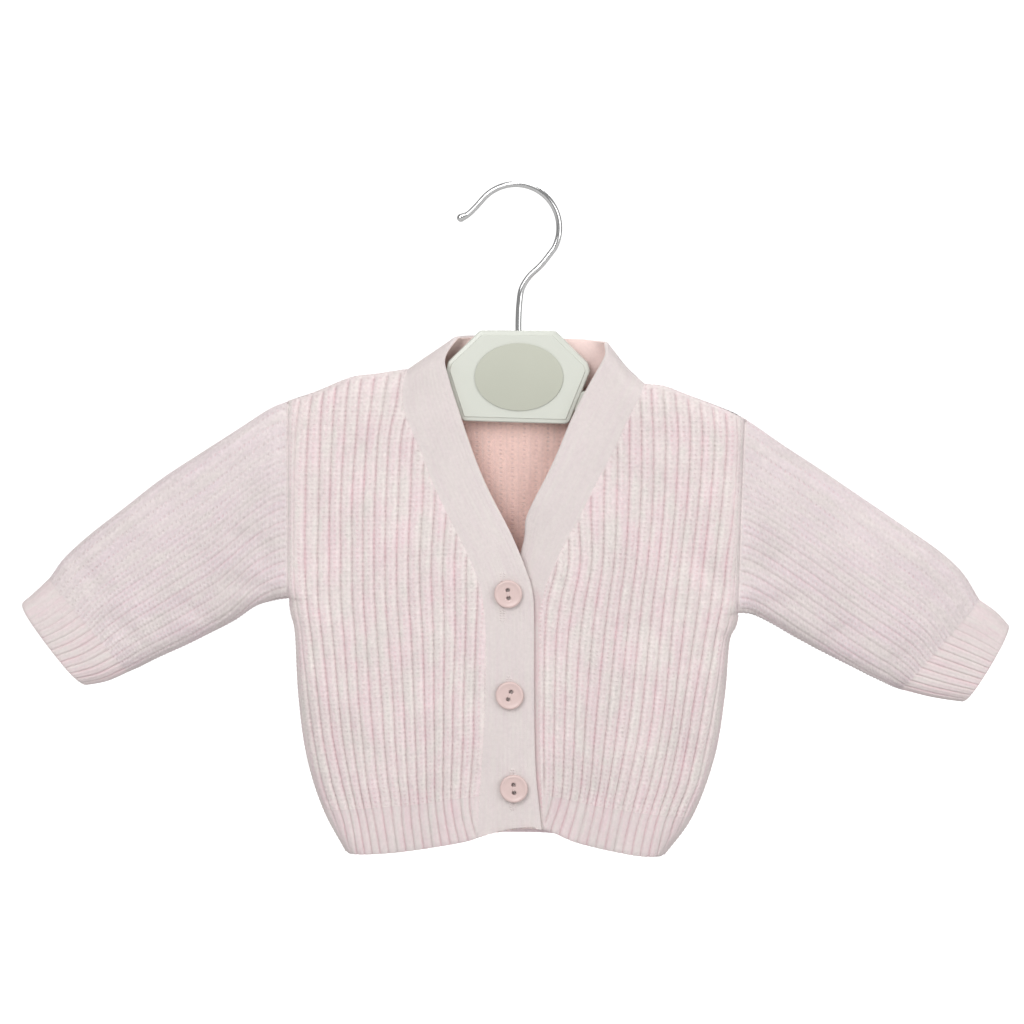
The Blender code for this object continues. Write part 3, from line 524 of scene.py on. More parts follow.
FULL_RIB = Rib((0.0, 0.06, 0.16, 0.32, 0.5, 0.68, 0.84, 0.94),
               1.15, 3.4, 0.2, 0.42, 1.1, 2.2, 3, 0.55, 0.1)
BACK_RIB = Rib((0.0, 0.1, 0.32, 0.68, 0.9), 1.15, 3.4, 0.2, 0.42, 1.1, 2.2, 2, 0.55, 0.1)
SLEEVE_RIB = Rib((0.0, 0.09, 0.3, 0.5, 0.7, 0.91), 0.6, 3.0, 0.2, 0.50, 0.9, 2.35, 3, 0.45)
WELT_RIB = Rib((0.0, 0.08, 0.26, 0.5, 0.74, 0.92), 0.95, 3.2, 0.2, 0.08, 0.6, 2.0, 2, 0.4, 0.28)
CUFF_RIB = Rib((0.0, 0.09, 0.3, 0.5, 0.7, 0.91), 0.6, 3.0, 0.2, 0.08, 0.4, 1.9, 2, 0.3, 0.34)
BAND_RIB = Rib((0.0, 0.3, 0.7), 0.07, 2.2, 0.0, 0.05, 0.4, 2.2, 2, 0.1)


def columns_of(rib: Rib, first: int, last: int) -> Array:
    """Rib coordinates of a panel's columns of points, from one rib to another."""
    whole = [rib_index + step for rib_index in range(first, last) for step in rib.steps]
    return np.array(whole + [float(last)])


@dataclass
class Relief:
    """What a sheet is made from: its points, and how far each stands out or lies in.

    Attributes:
        outer: points of the outer face, rows by columns by three, in millimetres.
        inner: points of the inner face.
        groove: painted shade, 1 at the bottom of a groove and 0 on a rib.
        across: ribs counted across the cloth.
        along: stitches counted along the ribs.
    """

    outer: Array
    inner: Array
    groove: Array
    across: Array
    along: Array


@dataclass
class KnitSheet:
    """Builds one cloth piece from its relief, as a closed wall."""

    name: str
    outer_plane: float | None = None

    def build(self, relief: Relief) -> bpy.types.Object:
        """Map a grid onto the relief, weld what its cut edges brought together, and wall it.

        Args:
            relief: the piece's faces and patterns.

        Returns:
            The finished object, with the maps that the knit materials read.
        """
        rows, columns = relief.groove.shape
        bm = bmesh.new()
        bmesh.ops.create_grid(bm, x_segments=columns - 1, y_segments=rows - 1, size=0.5)
        mesh = bpy.data.meshes.new(self.name)
        bm.to_mesh(mesh)
        bm.free()
        flat = np.empty(len(mesh.vertices) * 3)
        mesh.vertices.foreach_get("co", flat)
        flat = flat.reshape(-1, 3)
        column = np.rint((flat[:, 0] + 0.5) * (columns - 1)).astype(int)
        row = np.rint((flat[:, 1] + 0.5) * (rows - 1)).astype(int)
        mesh.vertices.foreach_set("co", (relief.outer[row, column] * MM).ravel())
        inner = mesh.attributes.new("inner", "FLOAT_VECTOR", "POINT")
        inner.data.foreach_set("vector", (relief.inner[row, column] * MM).ravel())
        groove = mesh.attributes.new("groove", "FLOAT", "POINT")
        groove.data.foreach_set("value", relief.groove[row, column])
        self.add_map(mesh, relief, row, column)
        self.weld(mesh)
        obj = bpy.data.objects.new(self.name, mesh)
        bpy.context.scene.collection.objects.link(obj)
        self.wall(obj)
        return obj

    def add_map(self, mesh: bpy.types.Mesh, relief: Relief, row: Array, column: Array) -> None:
        """Give the mesh a UV map whose unit is one rib by one stitch."""
        corner = np.empty(len(mesh.loops), dtype=np.int32)
        mesh.loops.foreach_get("vertex_index", corner)
        places = np.stack([relief.across[row, column], relief.along[row, column]], axis=-1)
        knit = mesh.uv_layers.new(name="knit")
        knit.data.foreach_set("uv", places[corner].ravel())

    def weld(self, mesh: bpy.types.Mesh) -> None:
        """Merge the points that a cut edge or a tube's seam laid on each other."""
        bm = bmesh.new()
        bm.from_mesh(mesh)
        bmesh.ops.remove_doubles(bm, verts=bm.verts, dist=0.00003)
        bmesh.ops.dissolve_degenerate(bm, dist=0.000005, edges=bm.edges)
        loose = [vertex for vertex in bm.verts if not vertex.link_faces]
        bmesh.ops.delete(bm, geom=loose, context="VERTS")
        bm.normal_update()
        facing = sum(face.normal.y * face.calc_center_median().y for face in bm.faces)
        if facing < 0.0:
            bmesh.ops.reverse_faces(bm, faces=bm.faces)
        bm.to_mesh(mesh)
        bm.free()

    def wall(self, obj: bpy.types.Object) -> None:
        """Give the sheet its inner face, and put that face where the relief says."""
        count = len(obj.data.vertices)
        solidify = obj.modifiers.new("Wall", "SOLIDIFY")
        solidify.thickness = 1.0 * MM
        solidify.offset = -1.0
        bpy.context.view_layer.update()
        evaluated = obj.evaluated_get(bpy.context.evaluated_depsgraph_get())
        walled = bpy.data.meshes.new_from_object(evaluated)
        obj.modifiers.clear()
        obj.data = walled
        walled.name = self.name
        places = np.empty(len(walled.vertices) * 3)
        walled.vertices.foreach_get("co", places)
        places = places.reshape(-1, 3)
        inner = np.empty(len(walled.vertices) * 3)
        walled.attributes["inner"].data.foreach_get("vector", inner)
        places[count:] = inner.reshape(-1, 3)[count:]
        inside = walled.attributes.new("inside", "FLOAT", "POINT")
        inside.data.foreach_set("value", (np.arange(len(walled.vertices)) >= count) * 1.0)
        if self.outer_plane is not None:
            keep = self.outer_plane * MM
            side = places[:, 1] * np.sign(keep)
            places[:, 1] = np.where(side < abs(keep), keep, places[:, 1])
        walled.vertices.foreach_set("co", places.ravel())
        walled.attributes.remove(walled.attributes["inner"])
        walled.shade_smooth()
        self.keep_rims(walled, count)
        walled.update()

    def keep_rims(self, mesh: bpy.types.Mesh, count: int) -> None:
        """Shade the narrow rim round the cloth apart from its two faces.

        Args:
            mesh: the walled sheet.
            count: how many of its points are on its outer face.
        """
        corner = np.empty(len(mesh.loops), dtype=np.int32)
        mesh.loops.foreach_get("vertex_index", corner)
        edge = np.empty(len(mesh.loops), dtype=np.int32)
        mesh.loops.foreach_get("edge_index", edge)
        first = np.empty(len(mesh.polygons), dtype=np.int32)
        mesh.polygons.foreach_get("loop_start", first)
        size = np.empty(len(mesh.polygons), dtype=np.int32)
        mesh.polygons.foreach_get("loop_total", size)
        behind = np.add.reduceat((corner >= count).astype(int), first)
        rim = np.repeat((behind > 0) & (behind < size), size)
        ends = np.empty(len(mesh.edges) * 2, dtype=np.int32)
        mesh.edges.foreach_get("vertices", ends)
        ends = ends.reshape(-1, 2) >= count
        sharp = np.zeros(len(mesh.edges), dtype=bool)
        sharp[edge[rim]] = True
        sharp &= ends[:, 0] == ends[:, 1]
        marks = mesh.attributes.get("sharp_edge")
        marks = marks or mesh.attributes.new("sharp_edge", "BOOLEAN", "EDGE")
        marks.data.foreach_set("value", sharp)


def unit(vectors: Array) -> Array:
    """Each vector at a length of 1."""
    return vectors / np.linalg.norm(vectors, axis=-1, keepdims=True)


def lifted(points: Array, normal: Array, rise: Array) -> Array:
    """Points moved along their normals."""
    return points + normal * rise[..., None]


def groove_mask(t: Array, sharp: float = 4.6) -> Array:
    """1 at the line between two ribs, falling off quickly on both sides."""
    across = np.abs(2.0 * (t % 1.0) - 1.0)
    return across ** sharp


# ---------------------------------------------------------------- body panels

EDGE_START, EDGE_ROLL, EDGE_DROP = 0.05, 1.3, 0.9
INNER_REST, UNEVEN = 0.35, 0.22


@dataclass
class BodyPanel:
    """A front, a back or a hem welt: ribs that fan down the body and are cut at its seams.

    Attributes:
        node: the solid that it stands for.
        rib: its relief.
        grooves: which grooves its rows give.
        rows: where they are.
        first: index of the rib at its outer side.
        last: index of the rib at its other side.
        high: height of its highest row.
        wall: thickness of the cloth.
        side: the front's side, or None for a piece of the back.
        is_welt: whether it is a hem welt.
        squeeze: how near to the seam, in millimetres, the ribs are pressed together.
    """

    node: str
    rib: Rib
    grooves: tuple
    rows: tuple
    first: int
    last: int
    high: float
    wall: float
    side: Side | None
    is_welt: bool = False
    squeeze: float = 6.0
    seam_gap: float = 0.06

    def __post_init__(self) -> None:
        """Read the lines that bound the piece."""
        self.groove_x = spline([(row.z, *row.grooves) for row in self.rows], 6)
        back = self.side is None
        self.welt_line = BODY.back_welt if back else BODY.front_welt
        self.hem_line = BODY.back_hem if back else BODY.front_hem
        self.depth = BODY.back() if back else BODY.front(self.side)
        self.facing = 1.0 if back else -1.0

    def top_z(self, x: Array) -> Array:
        """Height of the piece's upper edge."""
        if self.is_welt:
            return read_line(self.welt_line, x) - 0.02
        return (BODY.back_top_z(x) if self.side is None else BODY.crest_z(x)) - self.seam_gap

    def low_z(self, x: Array) -> Array:
        """Height of the piece's lower edge."""
        return read_line(self.hem_line if self.is_welt else self.welt_line, x)

    def raw_x(self, k: Array, z: Array) -> Array:
        """X of a rib coordinate at a height, before the seams cut it."""
        keys = np.array(self.grooves, dtype=float)
        lines = np.stack([read_line(self.groove_x, z, 0, index + 1) for index in range(len(keys))])
        segment = np.clip(np.searchsorted(keys, k, side="right") - 1, 0, len(keys) - 2)
        share = (k - keys[segment]) / (keys[segment + 1] - keys[segment])
        where = np.broadcast_to(segment, z.shape)[None]
        low = np.take_along_axis(lines, where, axis=0)[0]
        high = np.take_along_axis(lines, where + 1, axis=0)[0]
        return low + (high - low) * share

    def cut_x(self, k: Array, z: Array) -> tuple[Array, Array, Array]:
        """Cut the ribs at the piece's two sides.

        Args:
            k: rib coordinates.
            z: heights.

        Returns:
            X, the distance to the nearest cut on the band's side, and how far the ribs
            are drawn together at a side seam, from 0 to 1.
        """
        x = self.raw_x(k, z)
        drawn = np.ones_like(x)
        near = np.full_like(x, 1e3)
        for side in Side if self.side is None else (self.side,):
            inwards = -side.value
            seam = BODY.side_x(side, z) + inwards * self.seam_gap
            reach = (x - seam) * inwards
            pressed = self.squeeze * np.exp(np.clip((reach - self.squeeze) / self.squeeze, -9.0, 0))
            last = -1 if self.side is None and side is Side.LEFT else 0
            least = np.minimum(pressed[:, last], 0.8 * self.squeeze)[:, None]
            pressed = np.maximum(pressed - least, 0.0) * self.squeeze / (self.squeeze - least)
            x = np.where(reach < self.squeeze, seam + inwards * pressed, x)
            drawn = drawn * np.where(reach < self.squeeze, pressed / self.squeeze, 1.0)
        if self.side is not None:
            inwards = -self.side.value
            seam = read_line(BODY.band_seam[self.side], z, 1, 0) - inwards * self.seam_gap
            near = np.maximum((seam - x) * inwards, 0.0)
            x = np.where((seam - x) * inwards < 0.0, seam, x)
        return x, near, drawn

    def build(self) -> bpy.types.Object:
        """Make the piece on the body's form."""
        k = columns_of(self.rib, self.first, self.last)[None, :]
        height = self.high - float(self.low_z(np.array(0.0)))
        stitches = max(2, round(height / self.rib.length))
        row = np.arange(stitches * self.rib.rows + 1)[:, None]
        v = row / row[-1]
        x = self.raw_x(k, np.full((len(row), k.shape[1]), self.high))
        z = np.full_like(x, self.high)
        for _ in range(5):
            top = self.top_z(x) if self.is_welt else self.high
            z = top + (self.low_z(x) - top) * v
            x, near, drawn = self.cut_x(k, z)
            z = np.minimum(z, self.top_z(x))
            x, near, drawn = self.cut_x(k, z)
        t = k % 1.0 + np.zeros_like(x)
        from_top = ease((self.top_z(x) - z) / 2.6)
        from_low = ease((z - self.low_z(x)) / 2.6)
        free = from_top if not self.is_welt else np.ones_like(x)
        held = free * ease(near / 1.8) * drawn ** 1.4
        z = z + self.rib.shift(t) * held * from_low * from_top
        return KnitSheet(self.node + "_knit", outer_plane=self.facing * BODY.half_gap).build(
            self.relief(k, t, x, z, row, held, near, from_low * from_top))

    def relief(self, k: Array, t: Array, x: Array, z: Array, row: Array, held: Array,
               near: Array, whole: Array) -> Relief:
        """Lift the cut grid into ribs and stitches on both faces."""
        step = 0.05
        depth = self.depth(x, z)
        slope_x = (self.depth(x + step, z) - self.depth(x - step, z)) / (2 * step)
        slope_z = (self.depth(x, z + step) - self.depth(x, z - step)) / (2 * step)
        normal = np.stack([-slope_x, np.full_like(x, self.facing), -slope_z], axis=-1)
        normal = unit(normal)
        base = np.stack([x, self.facing * depth, z], axis=-1)
        uneven = UNEVEN * wander(x, z, 3) * held
        outwards = (self.rib.profile(t) + self.rib.stitches(t, row) * whole) * held + uneven
        edge = np.ones_like(x)
        if self.is_welt:
            edge = round_over(z - self.low_z(x) + EDGE_START, EDGE_ROLL)
        outer = lifted(base, normal, outwards - EDGE_DROP * (1.0 - edge))
        wall = self.wall - INNER_REST
        inner = lifted(base, normal, -wall - (self.rib.inside(t) - INNER_REST) * held
                       + EDGE_DROP * (1.0 - edge))
        groove = self.rib.shade(t) * held
        across = k + np.zeros_like(x)
        return Relief(outer, inner, groove, across, row / self.rib.rows + np.zeros_like(x))


# ---------------------------------------------------------------- sleeves and cuffs

@dataclass
class Tube:
    """A sleeve or a cuff: a flattened tube with ribs along it."""

    node: str
    side: Side
    sections: tuple
    rib: Rib
    ribs: int
    wall: float
    is_cuff: bool = False
    edge_round: float = 11.0
    bow: float = 1.6
    join: float = 18.0
    join_most: float = 1.35
    rise: float = 2.2
    fold_relief: float = 0.2

    def across(self, k: Array, turned: Array) -> Array:
        """How far down the flattened tube each rib is, from 0 at the upper fold to 1."""
        fraction = (k[None, :] + 0.5 + turned[:, None]) / self.ribs % 1.0
        return 1.0 - np.abs(2.0 * fraction - 1.0)

    def ring(self, section: Array, fractions: Array) -> Array:
        """Points of one ring at fractions of its length, from its upper fold round the front."""
        top_x, top_z, low_x, low_z, half = section
        length = math.hypot(low_x - top_x, low_z - top_z)
        down = 0.5 - 0.5 * np.cos(np.linspace(0.0, math.pi, 61))
        depth = half * round_over(down * length, self.edge_round)
        depth = depth * round_over((1.0 - down) * length, self.edge_round)
        x = top_x + (low_x - top_x) * down
        z = top_z + (low_z - top_z) * down
        front = np.stack([x, -depth, z], axis=-1)
        behind = np.stack([x, depth, z], axis=-1)[::-1]
        return at_fractions(np.vstack([front, behind[1:]]), fractions)

    def build(self) -> bpy.types.Object:
        """Make the tube, ribs, stitches and both faces."""
        k = columns_of(self.rib, 0, self.ribs)
        middle = spline([((s.top_x + s.low_x) / 2, (s.top_z + s.low_z) / 2)
                         for s in self.sections], 8)
        run = lengths_along(middle)[-1]
        stitches = max(2, round(run / self.rib.length))
        row = np.arange(stitches * self.rib.rows + 1)[:, None]
        sections = at_fractions(spline(self.sections, 12), row[:, 0] / row[-1, 0])
        turn = spline(SLEEVE_TURN[self.side], 6)
        share = row[:, 0] / row[-1, 0]
        turned = read_line(turn, np.ones_like(share) if self.is_cuff else share)
        base = np.array([self.ring(section, (k + 0.5 + ribs) / self.ribs % 1.0)
                         for section, ribs in zip(sections, turned)])
        base[:, -1] = base[:, 0]
        if not self.is_cuff:
            meets = BODY.half_depth(BODY.side_x(self.side, base[..., 2]), base[..., 2])
            most = self.join_most * np.abs(base[..., 1])
            meets = np.minimum(meets, most) * np.sign(base[..., 1])
            near = 1.0 - ease(share * run / self.join)[:, None]
            base[..., 1] += (meets - base[..., 1]) * near
        if self.is_cuff:
            outwards = (sections[-1, :4] - sections[-2, :4]).reshape(2, 2).mean(axis=0)
            outwards = outwards / np.linalg.norm(outwards)
            bowed = self.bow * (1.0 - (2.0 * self.across(k, turned) - 1.0) ** 2) * share[:, None] ** 2
            base[..., 0] += bowed * outwards[0]
            base[..., 2] += bowed * outwards[1]
        along = np.gradient(base, axis=0)
        around = np.roll(base[:, :-1], -1, axis=1) - np.roll(base[:, :-1], 1, axis=1)
        around = np.concatenate([around, around[:, :1]], axis=1)
        normal = unit(np.cross(around, along))
        if (normal[..., 1] * base[..., 1]).sum() < 0.0:
            normal = -normal
        along = unit(along)
        t = k[None, :] % 1.0 + np.zeros(base.shape[:2])
        distance = row / row[-1] * run
        start, end = distance, run - distance
        held = np.ones_like(distance) if self.is_cuff else ease(start / self.rise)
        held = held + np.zeros_like(t)
        shown = ease(start / 2.0) * ease(end / 2.0)
        lower = self.across(k, turned)
        flattest = self.fold_relief
        held = held * (flattest + (1.0 - flattest) * ease((lower - 0.16) / 0.5))
        moved = base + along * (-self.rib.shift(t) * shown)[..., None]
        outwards = (self.rib.profile(t) + self.rib.stitches(t, row) * shown) * held
        outwards = outwards + UNEVEN * wander(base[..., 0], base[..., 2], 5) * held
        folds = creased(SLEEVE_CREASES[self.side], base[..., 0], base[..., 2])
        flat = ease((np.abs(base[..., 1]) - 3.0) / 5.0)
        folds = folds * flat * (0.0 if self.is_cuff else 1.0)
        edge = round_over(end + EDGE_START, EDGE_ROLL) if self.is_cuff else np.ones_like(end)
        edge = edge + np.zeros_like(t)
        outer = lifted(moved, normal, outwards - folds - EDGE_DROP * (1.0 - edge))
        inner = lifted(moved, normal, -self.wall - (self.rib.inside(t) - INNER_REST) * held
                       - folds + EDGE_DROP * (1.0 - edge))
        relief = Relief(outer, inner, 0.85 * self.rib.shade(t) * held, k[None, :] + np.zeros_like(t),
                        row / self.rib.rows + np.zeros_like(t))
        return KnitSheet(self.node + "_knit").build(relief)


# ---------------------------------------------------------------- button band

@dataclass
class Buttonhole:
    """An upright buttonhole: a slit with stitches round it."""

    x: float
    z: float
    half: float = 8.0
    width: float = 0.9

    def at(self, x: Array, z: Array) -> Array:
        """1 in the slit and 0 outside it."""
        inside = np.exp(-((x - self.x) / self.width) ** 2)
        return inside * ease((self.half - np.abs(z - self.z)) / 1.5)


class ButtonPlace(NamedTuple):
    """Where a button is sewn and how far it is turned, in degrees."""

    node: str
    x: float
    z: float
    turn: float


BUTTONS = (ButtonPlace("button_top", -3.8, -201.5, -6.0),
           ButtonPlace("button_middle", -3.0, -252.0, 21.0),
           ButtonPlace("button_bottom", -1.0, -298.7, -4.0))
BUTTONHOLES = (Buttonhole(-6.6, -203.0, 11.5), Buttonhole(-3.4, -252.6, 9.6),
               Buttonhole(-1.6, -299.4, 9.6))


@dataclass
class ButtonBand:
    """The strip of fine knit up one front, round the neck and down the other front."""

    node: str = "button_band"
    rib: Rib = BAND_RIB
    wales: int = 13
    wall: float = 1.8
    tuck: float = 2.5
    neck_depth: float = 8.2
    tuck_low: float = -228.0
    tuck_high: float = -155.0
    tuck_ease: float = 25.0
    roll: float = 1.5
    roll_drop: float = 1.25
    # Strength of the painted shade beside the upper band's free edge.
    lap_shade: float = 1.5
    lap_high: float = -196.0
    lap_low: float = -316.0
    lap_away: float = 1.5
    lap_wide: float = 1.9
    slit_depth: float = 0.12

    def stretch(self, strips: tuple) -> Array:
        """Rows of one stretch of the band, evenly spaced along its middle."""
        rows = spline(strips, 12)
        middle = (rows[:, :2] + rows[:, 2:]) / 2
        lengths = lengths_along(middle)
        step = self.rib.length / self.rib.rows
        wanted = np.linspace(0.0, lengths[-1], max(4, round(lengths[-1] / step)) + 1)
        return np.stack([np.interp(wanted, lengths, column) for column in rows.T], axis=-1)

    def hem_ends(self, rows: Array) -> Array:
        """Keep the band's hem on the front hem's curve."""
        rows = rows.copy()
        rows[:, 1] = np.maximum(rows[:, 1], read_line(BODY.front_hem, rows[:, 0]))
        rows[:, 3] = np.maximum(rows[:, 3], read_line(BODY.front_hem, rows[:, 2]))
        return rows

    def leg(self, side: Side, rows: Array, share: Array) -> Array:
        """Points of the band on one front."""
        x = rows[:, 0:1] + (rows[:, 2:3] - rows[:, 0:1]) * share
        z = rows[:, 1:2] + (rows[:, 3:4] - rows[:, 1:2]) * share
        z = np.clip(z, read_line(BODY.front_hem, x), BODY.crest_z(x))
        y = -BODY.front(side)(x, z)
        if side is Side.LEFT:
            turned = ease((self.tuck_high - z) / self.tuck_ease)
            turned = turned * ease((z - self.tuck_low) / self.tuck_ease)
            y = y + self.tuck * turned * share ** 2
        return np.stack([x, y, z], axis=-1)

    def neck(self, rows: Array, share: Array) -> Array:
        """Points of the band behind the neck."""
        x = rows[:, 0:1] + (rows[:, 2:3] - rows[:, 0:1]) * share
        z = rows[:, 1:2] + (rows[:, 3:4] - rows[:, 1:2]) * share
        z = np.minimum(z, BODY.crest_z(x))
        sewn = BODY.half_depth(rows[:, 0:1], rows[:, 1:2])
        right, left = NECK_FOLD[Side.RIGHT][-1].x, NECK_FOLD[Side.LEFT][-1].x
        reach = np.minimum(rows[:, 2:3] - right, left - rows[:, 2:3])
        free = self.neck_depth * round_over(reach, BODY.edge_round)
        return np.stack([x, (1.0 - share) * sewn + share * free, z], axis=-1)

    def beside_lap(self, base: Array) -> Array:
        """1 just beside the upper band's free edge, where painted shade deepens the yarn below in
        place of that edge's shade.
        """
        line = spline([(row.edge_z, row.edge_x) for row in BAND_RIGHT], 6)
        reach = base[..., 0] - read_line(line, base[..., 2])
        low = ease((self.lap_high - base[..., 2]) / 8.0) * ease((base[..., 2] - self.lap_low) / 12.0)
        return np.exp(-((reach - self.lap_away) / self.lap_wide) ** 2) * low

    def build(self) -> bpy.types.Object:
        """Make the band with its wales, its rounded free edge and its buttonholes."""
        k = columns_of(self.rib, 0, self.wales)
        share = (k / self.wales)[None, :]
        right = self.leg(Side.RIGHT, self.hem_ends(self.stretch(BAND_RIGHT)), share)
        neck = self.neck(self.stretch(BAND_NECK), share)[1:-1]
        left = self.leg(Side.LEFT, self.hem_ends(self.stretch(BAND_LEFT)), share)
        base = np.vstack([right, neck, left])
        along = np.gradient(base, axis=0)
        around = np.gradient(base, axis=1)
        normal = np.cross(around, along)
        normal = normal / np.maximum(np.linalg.norm(normal, axis=-1, keepdims=True), 1e-9)
        if normal[: len(right), :, 1].sum() > 0.0:
            normal = -normal
        t = k[None, :] % 1.0 + np.zeros(base.shape[:2])
        row = np.arange(len(base))[:, None]
        width = np.linalg.norm(base[:, -1] - base[:, 0], axis=-1)[:, None]
        free = (1.0 - share) * width
        sewn = share * width
        from_end = np.minimum(row, row[::-1]) * self.rib.length / self.rib.rows
        held = ease(sewn / 1.5) * ease(free / 1.5) * ease((from_end + 0.3) / 1.5)
        relief = (self.rib.profile(t) + self.rib.stitches(t, row)) * held
        relief = relief + 0.25 * wander(base[..., 0], base[..., 2], 9) * ease(sewn / 3.0)
        slit = np.zeros_like(t)
        for hole in BUTTONHOLES:
            slit = np.maximum(slit, hole.at(base[..., 0], base[..., 2]))
        slit[len(right):] = 0.0
        rolled = 1.0 - round_over(free + 0.05, self.roll) * round_over(from_end + 0.05, 1.1)
        outer = lifted(base, normal, relief - self.roll_drop * rolled - self.slit_depth * slit)
        inner = lifted(base, normal, -self.wall - self.rib.inside(t) * held + 0.1 * rolled)
        # Painted shade: a deeper pink strip on the left leg just beside the upper band's free edge,
        # where that edge shades the yarn below.
        glow = self.beside_lap(base)
        glow[: len(right) + len(neck)] = 0.0
        # Painted shade in the band's faint grooves and down the sunken buttonhole slits.
        shade = np.maximum(0.14 * groove_mask(t, 3.0) * held, 0.12 * slit)
        sheet = Relief(outer, inner, np.maximum(shade, np.minimum(1.0, self.lap_shade * glow)),
                       k[None, :] + np.zeros_like(t), row / self.rib.rows + np.zeros_like(t))
        return KnitSheet("button_band_knit").build(sheet)


# ---------------------------------------------------------------- finishes

class Nodes:
    """Adds nodes to one tree and links them, in a line each."""

    def __init__(self, tree: bpy.types.NodeTree) -> None:
        """Keep the tree."""
        self.tree = tree

    def add(self, kind: str, inputs: dict | None = None, **settings: object) -> bpy.types.Node:
        """Add a node, set its properties, and set or link its inputs.

        Args:
            kind: the node's type.
            inputs: values or output sockets by input name or index.
            settings: properties of the node.

        Returns:
            The node.
        """
        node = self.tree.nodes.new(kind)
        for name, value in settings.items():
            setattr(node, name, value)
        for name, value in (inputs or {}).items():
            if isinstance(value, bpy.types.NodeSocket):
                self.tree.links.new(value, node.inputs[name])
            else:
                node.inputs[name].default_value = value
        return node

    def mix(self, factor: object, a: object, b: object, blend: str = "MIX") -> bpy.types.NodeSocket:
        """Mix two colours and return the result's socket."""
        node = self.add("ShaderNodeMix", data_type="RGBA", blend_type=blend)
        for index, value in ((0, factor), (6, a), (7, b)):
            if isinstance(value, bpy.types.NodeSocket):
                self.tree.links.new(value, node.inputs[index])
            else:
                node.inputs[index].default_value = value
        return node.outputs[2]

    def maths(self, operation: str, a: object, b: object = 0.0) -> bpy.types.NodeSocket:
        """One sum of two numbers or sockets."""
        return self.add("ShaderNodeMath", {0: a, 1: b}, operation=operation).outputs[0]


def new_group(name: str, inputs: Sequence[tuple], outputs: Sequence[tuple]) -> tuple:
    """A shader node group with named inputs and outputs.

    Args:
        name: the group's name.
        inputs: (name, kind, value) of each input; the value may be None.
        outputs: (name, kind) of each output.

    Returns:
        The group, its Nodes helper, its input node and its output node.
    """
    group = bpy.data.node_groups.new(name, "ShaderNodeTree")
    for label, kind, value in inputs:
        socket = group.interface.new_socket(label, in_out="INPUT", socket_type=kind)
        if value is not None:
            socket.default_value = value
    for label, kind in outputs:
        group.interface.new_socket(label, in_out="OUTPUT", socket_type=kind)
    nodes = Nodes(group)
    return group, nodes, nodes.add("NodeGroupInput"), nodes.add("NodeGroupOutput")


# The grey end that the painted groove shade drifts to.
ASH = (0.62, 0.53, 0.53)


class StitchGroup:
    """Painted shade of a knitted rib's loops: a chain of small dark holes down its middle, beads in
    its groove and lines at the joints between stitches.
    """

    _made: bpy.types.NodeTree | None = None

    @classmethod
    def get(cls) -> bpy.types.NodeTree:
        """The group, which is built once."""
        if cls._made is None:
            cls._made = cls.build()
        return cls._made

    @staticmethod
    def build() -> bpy.types.NodeTree:
        """Build the group: painted shade and height of the loops from the rib and stitch counts."""
        group, nodes, given, out = new_group(
            "KnitLoops",
            (("Groove", "NodeSocketFloat", 0.0), ("Hole", "NodeSocketFloat", 0.5),
             ("Bead", "NodeSocketFloat", 0.5), ("Joint", "NodeSocketFloat", 0.2)),
            (("Shade", "NodeSocketFloat"), ("Height", "NodeSocketFloat")))
        places = nodes.add("ShaderNodeTexCoord").outputs["Object"]
        drift = nodes.add("ShaderNodeTexNoise", {"Vector": places, "Scale": 420.0, "Detail": 1.0})
        patchy = nodes.add("ShaderNodeTexNoise", {"Vector": places, "Scale": 60.0, "Detail": 2.0})
        cloth = nodes.add("ShaderNodeUVMap", uv_map="knit").outputs["UV"]
        counts = nodes.add("ShaderNodeSeparateXYZ", {0: cloth}).outputs
        moved = nodes.maths("MULTIPLY", nodes.maths("SUBTRACT", drift.outputs["Fac"], 0.5), 0.5)
        across = nodes.maths("ADD", counts[0], nodes.maths("MULTIPLY", moved, 0.3))
        along = nodes.maths("ADD", counts[1], moved)
        a = StitchGroup.from_middle(nodes, across)
        b = StitchGroup.from_middle(nodes, along)
        wide = nodes.maths("POWER", nodes.maths("DIVIDE", a, 0.34), 2.0)
        tall = nodes.maths("POWER", nodes.maths("DIVIDE", b, 0.62), 2.0)
        hole = nodes.maths("MAXIMUM", nodes.maths("SUBTRACT", 1.0, nodes.maths("ADD", wide, tall)),
                           0.0)
        patch = nodes.maths("ADD", nodes.maths("MULTIPLY", patchy.outputs["Fac"], 1.3), 0.2)
        hole = nodes.maths("MULTIPLY", nodes.maths("MULTIPLY", hole, given.outputs["Hole"]), patch)
        open_bead = nodes.maths("MULTIPLY", nodes.maths("SUBTRACT", 1.0, b), given.outputs["Bead"])
        groove = nodes.maths("MULTIPLY", given.outputs["Groove"],
                             nodes.maths("SUBTRACT", 1.0, open_bead))
        joint = nodes.maths("MULTIPLY", nodes.maths("POWER", b, 6.0), given.outputs["Joint"])
        joint = nodes.maths("MULTIPLY", joint, nodes.maths("SUBTRACT", 1.0, groove))
        shade = nodes.maths("MAXIMUM", nodes.maths("MAXIMUM", hole, groove), joint)
        group.links.new(shade, out.inputs["Shade"])
        group.links.new(nodes.maths("SUBTRACT", 1.0, shade), out.inputs["Height"])
        return group

    @staticmethod
    def from_middle(nodes: Nodes, count: bpy.types.NodeSocket) -> bpy.types.NodeSocket:
        """0 in the middle of each whole step of a count and 1 at its ends."""
        part = nodes.maths("MULTIPLY", nodes.maths("FRACT", count), 2.0)
        return nodes.maths("ABSOLUTE", nodes.maths("SUBTRACT", part, 1.0))


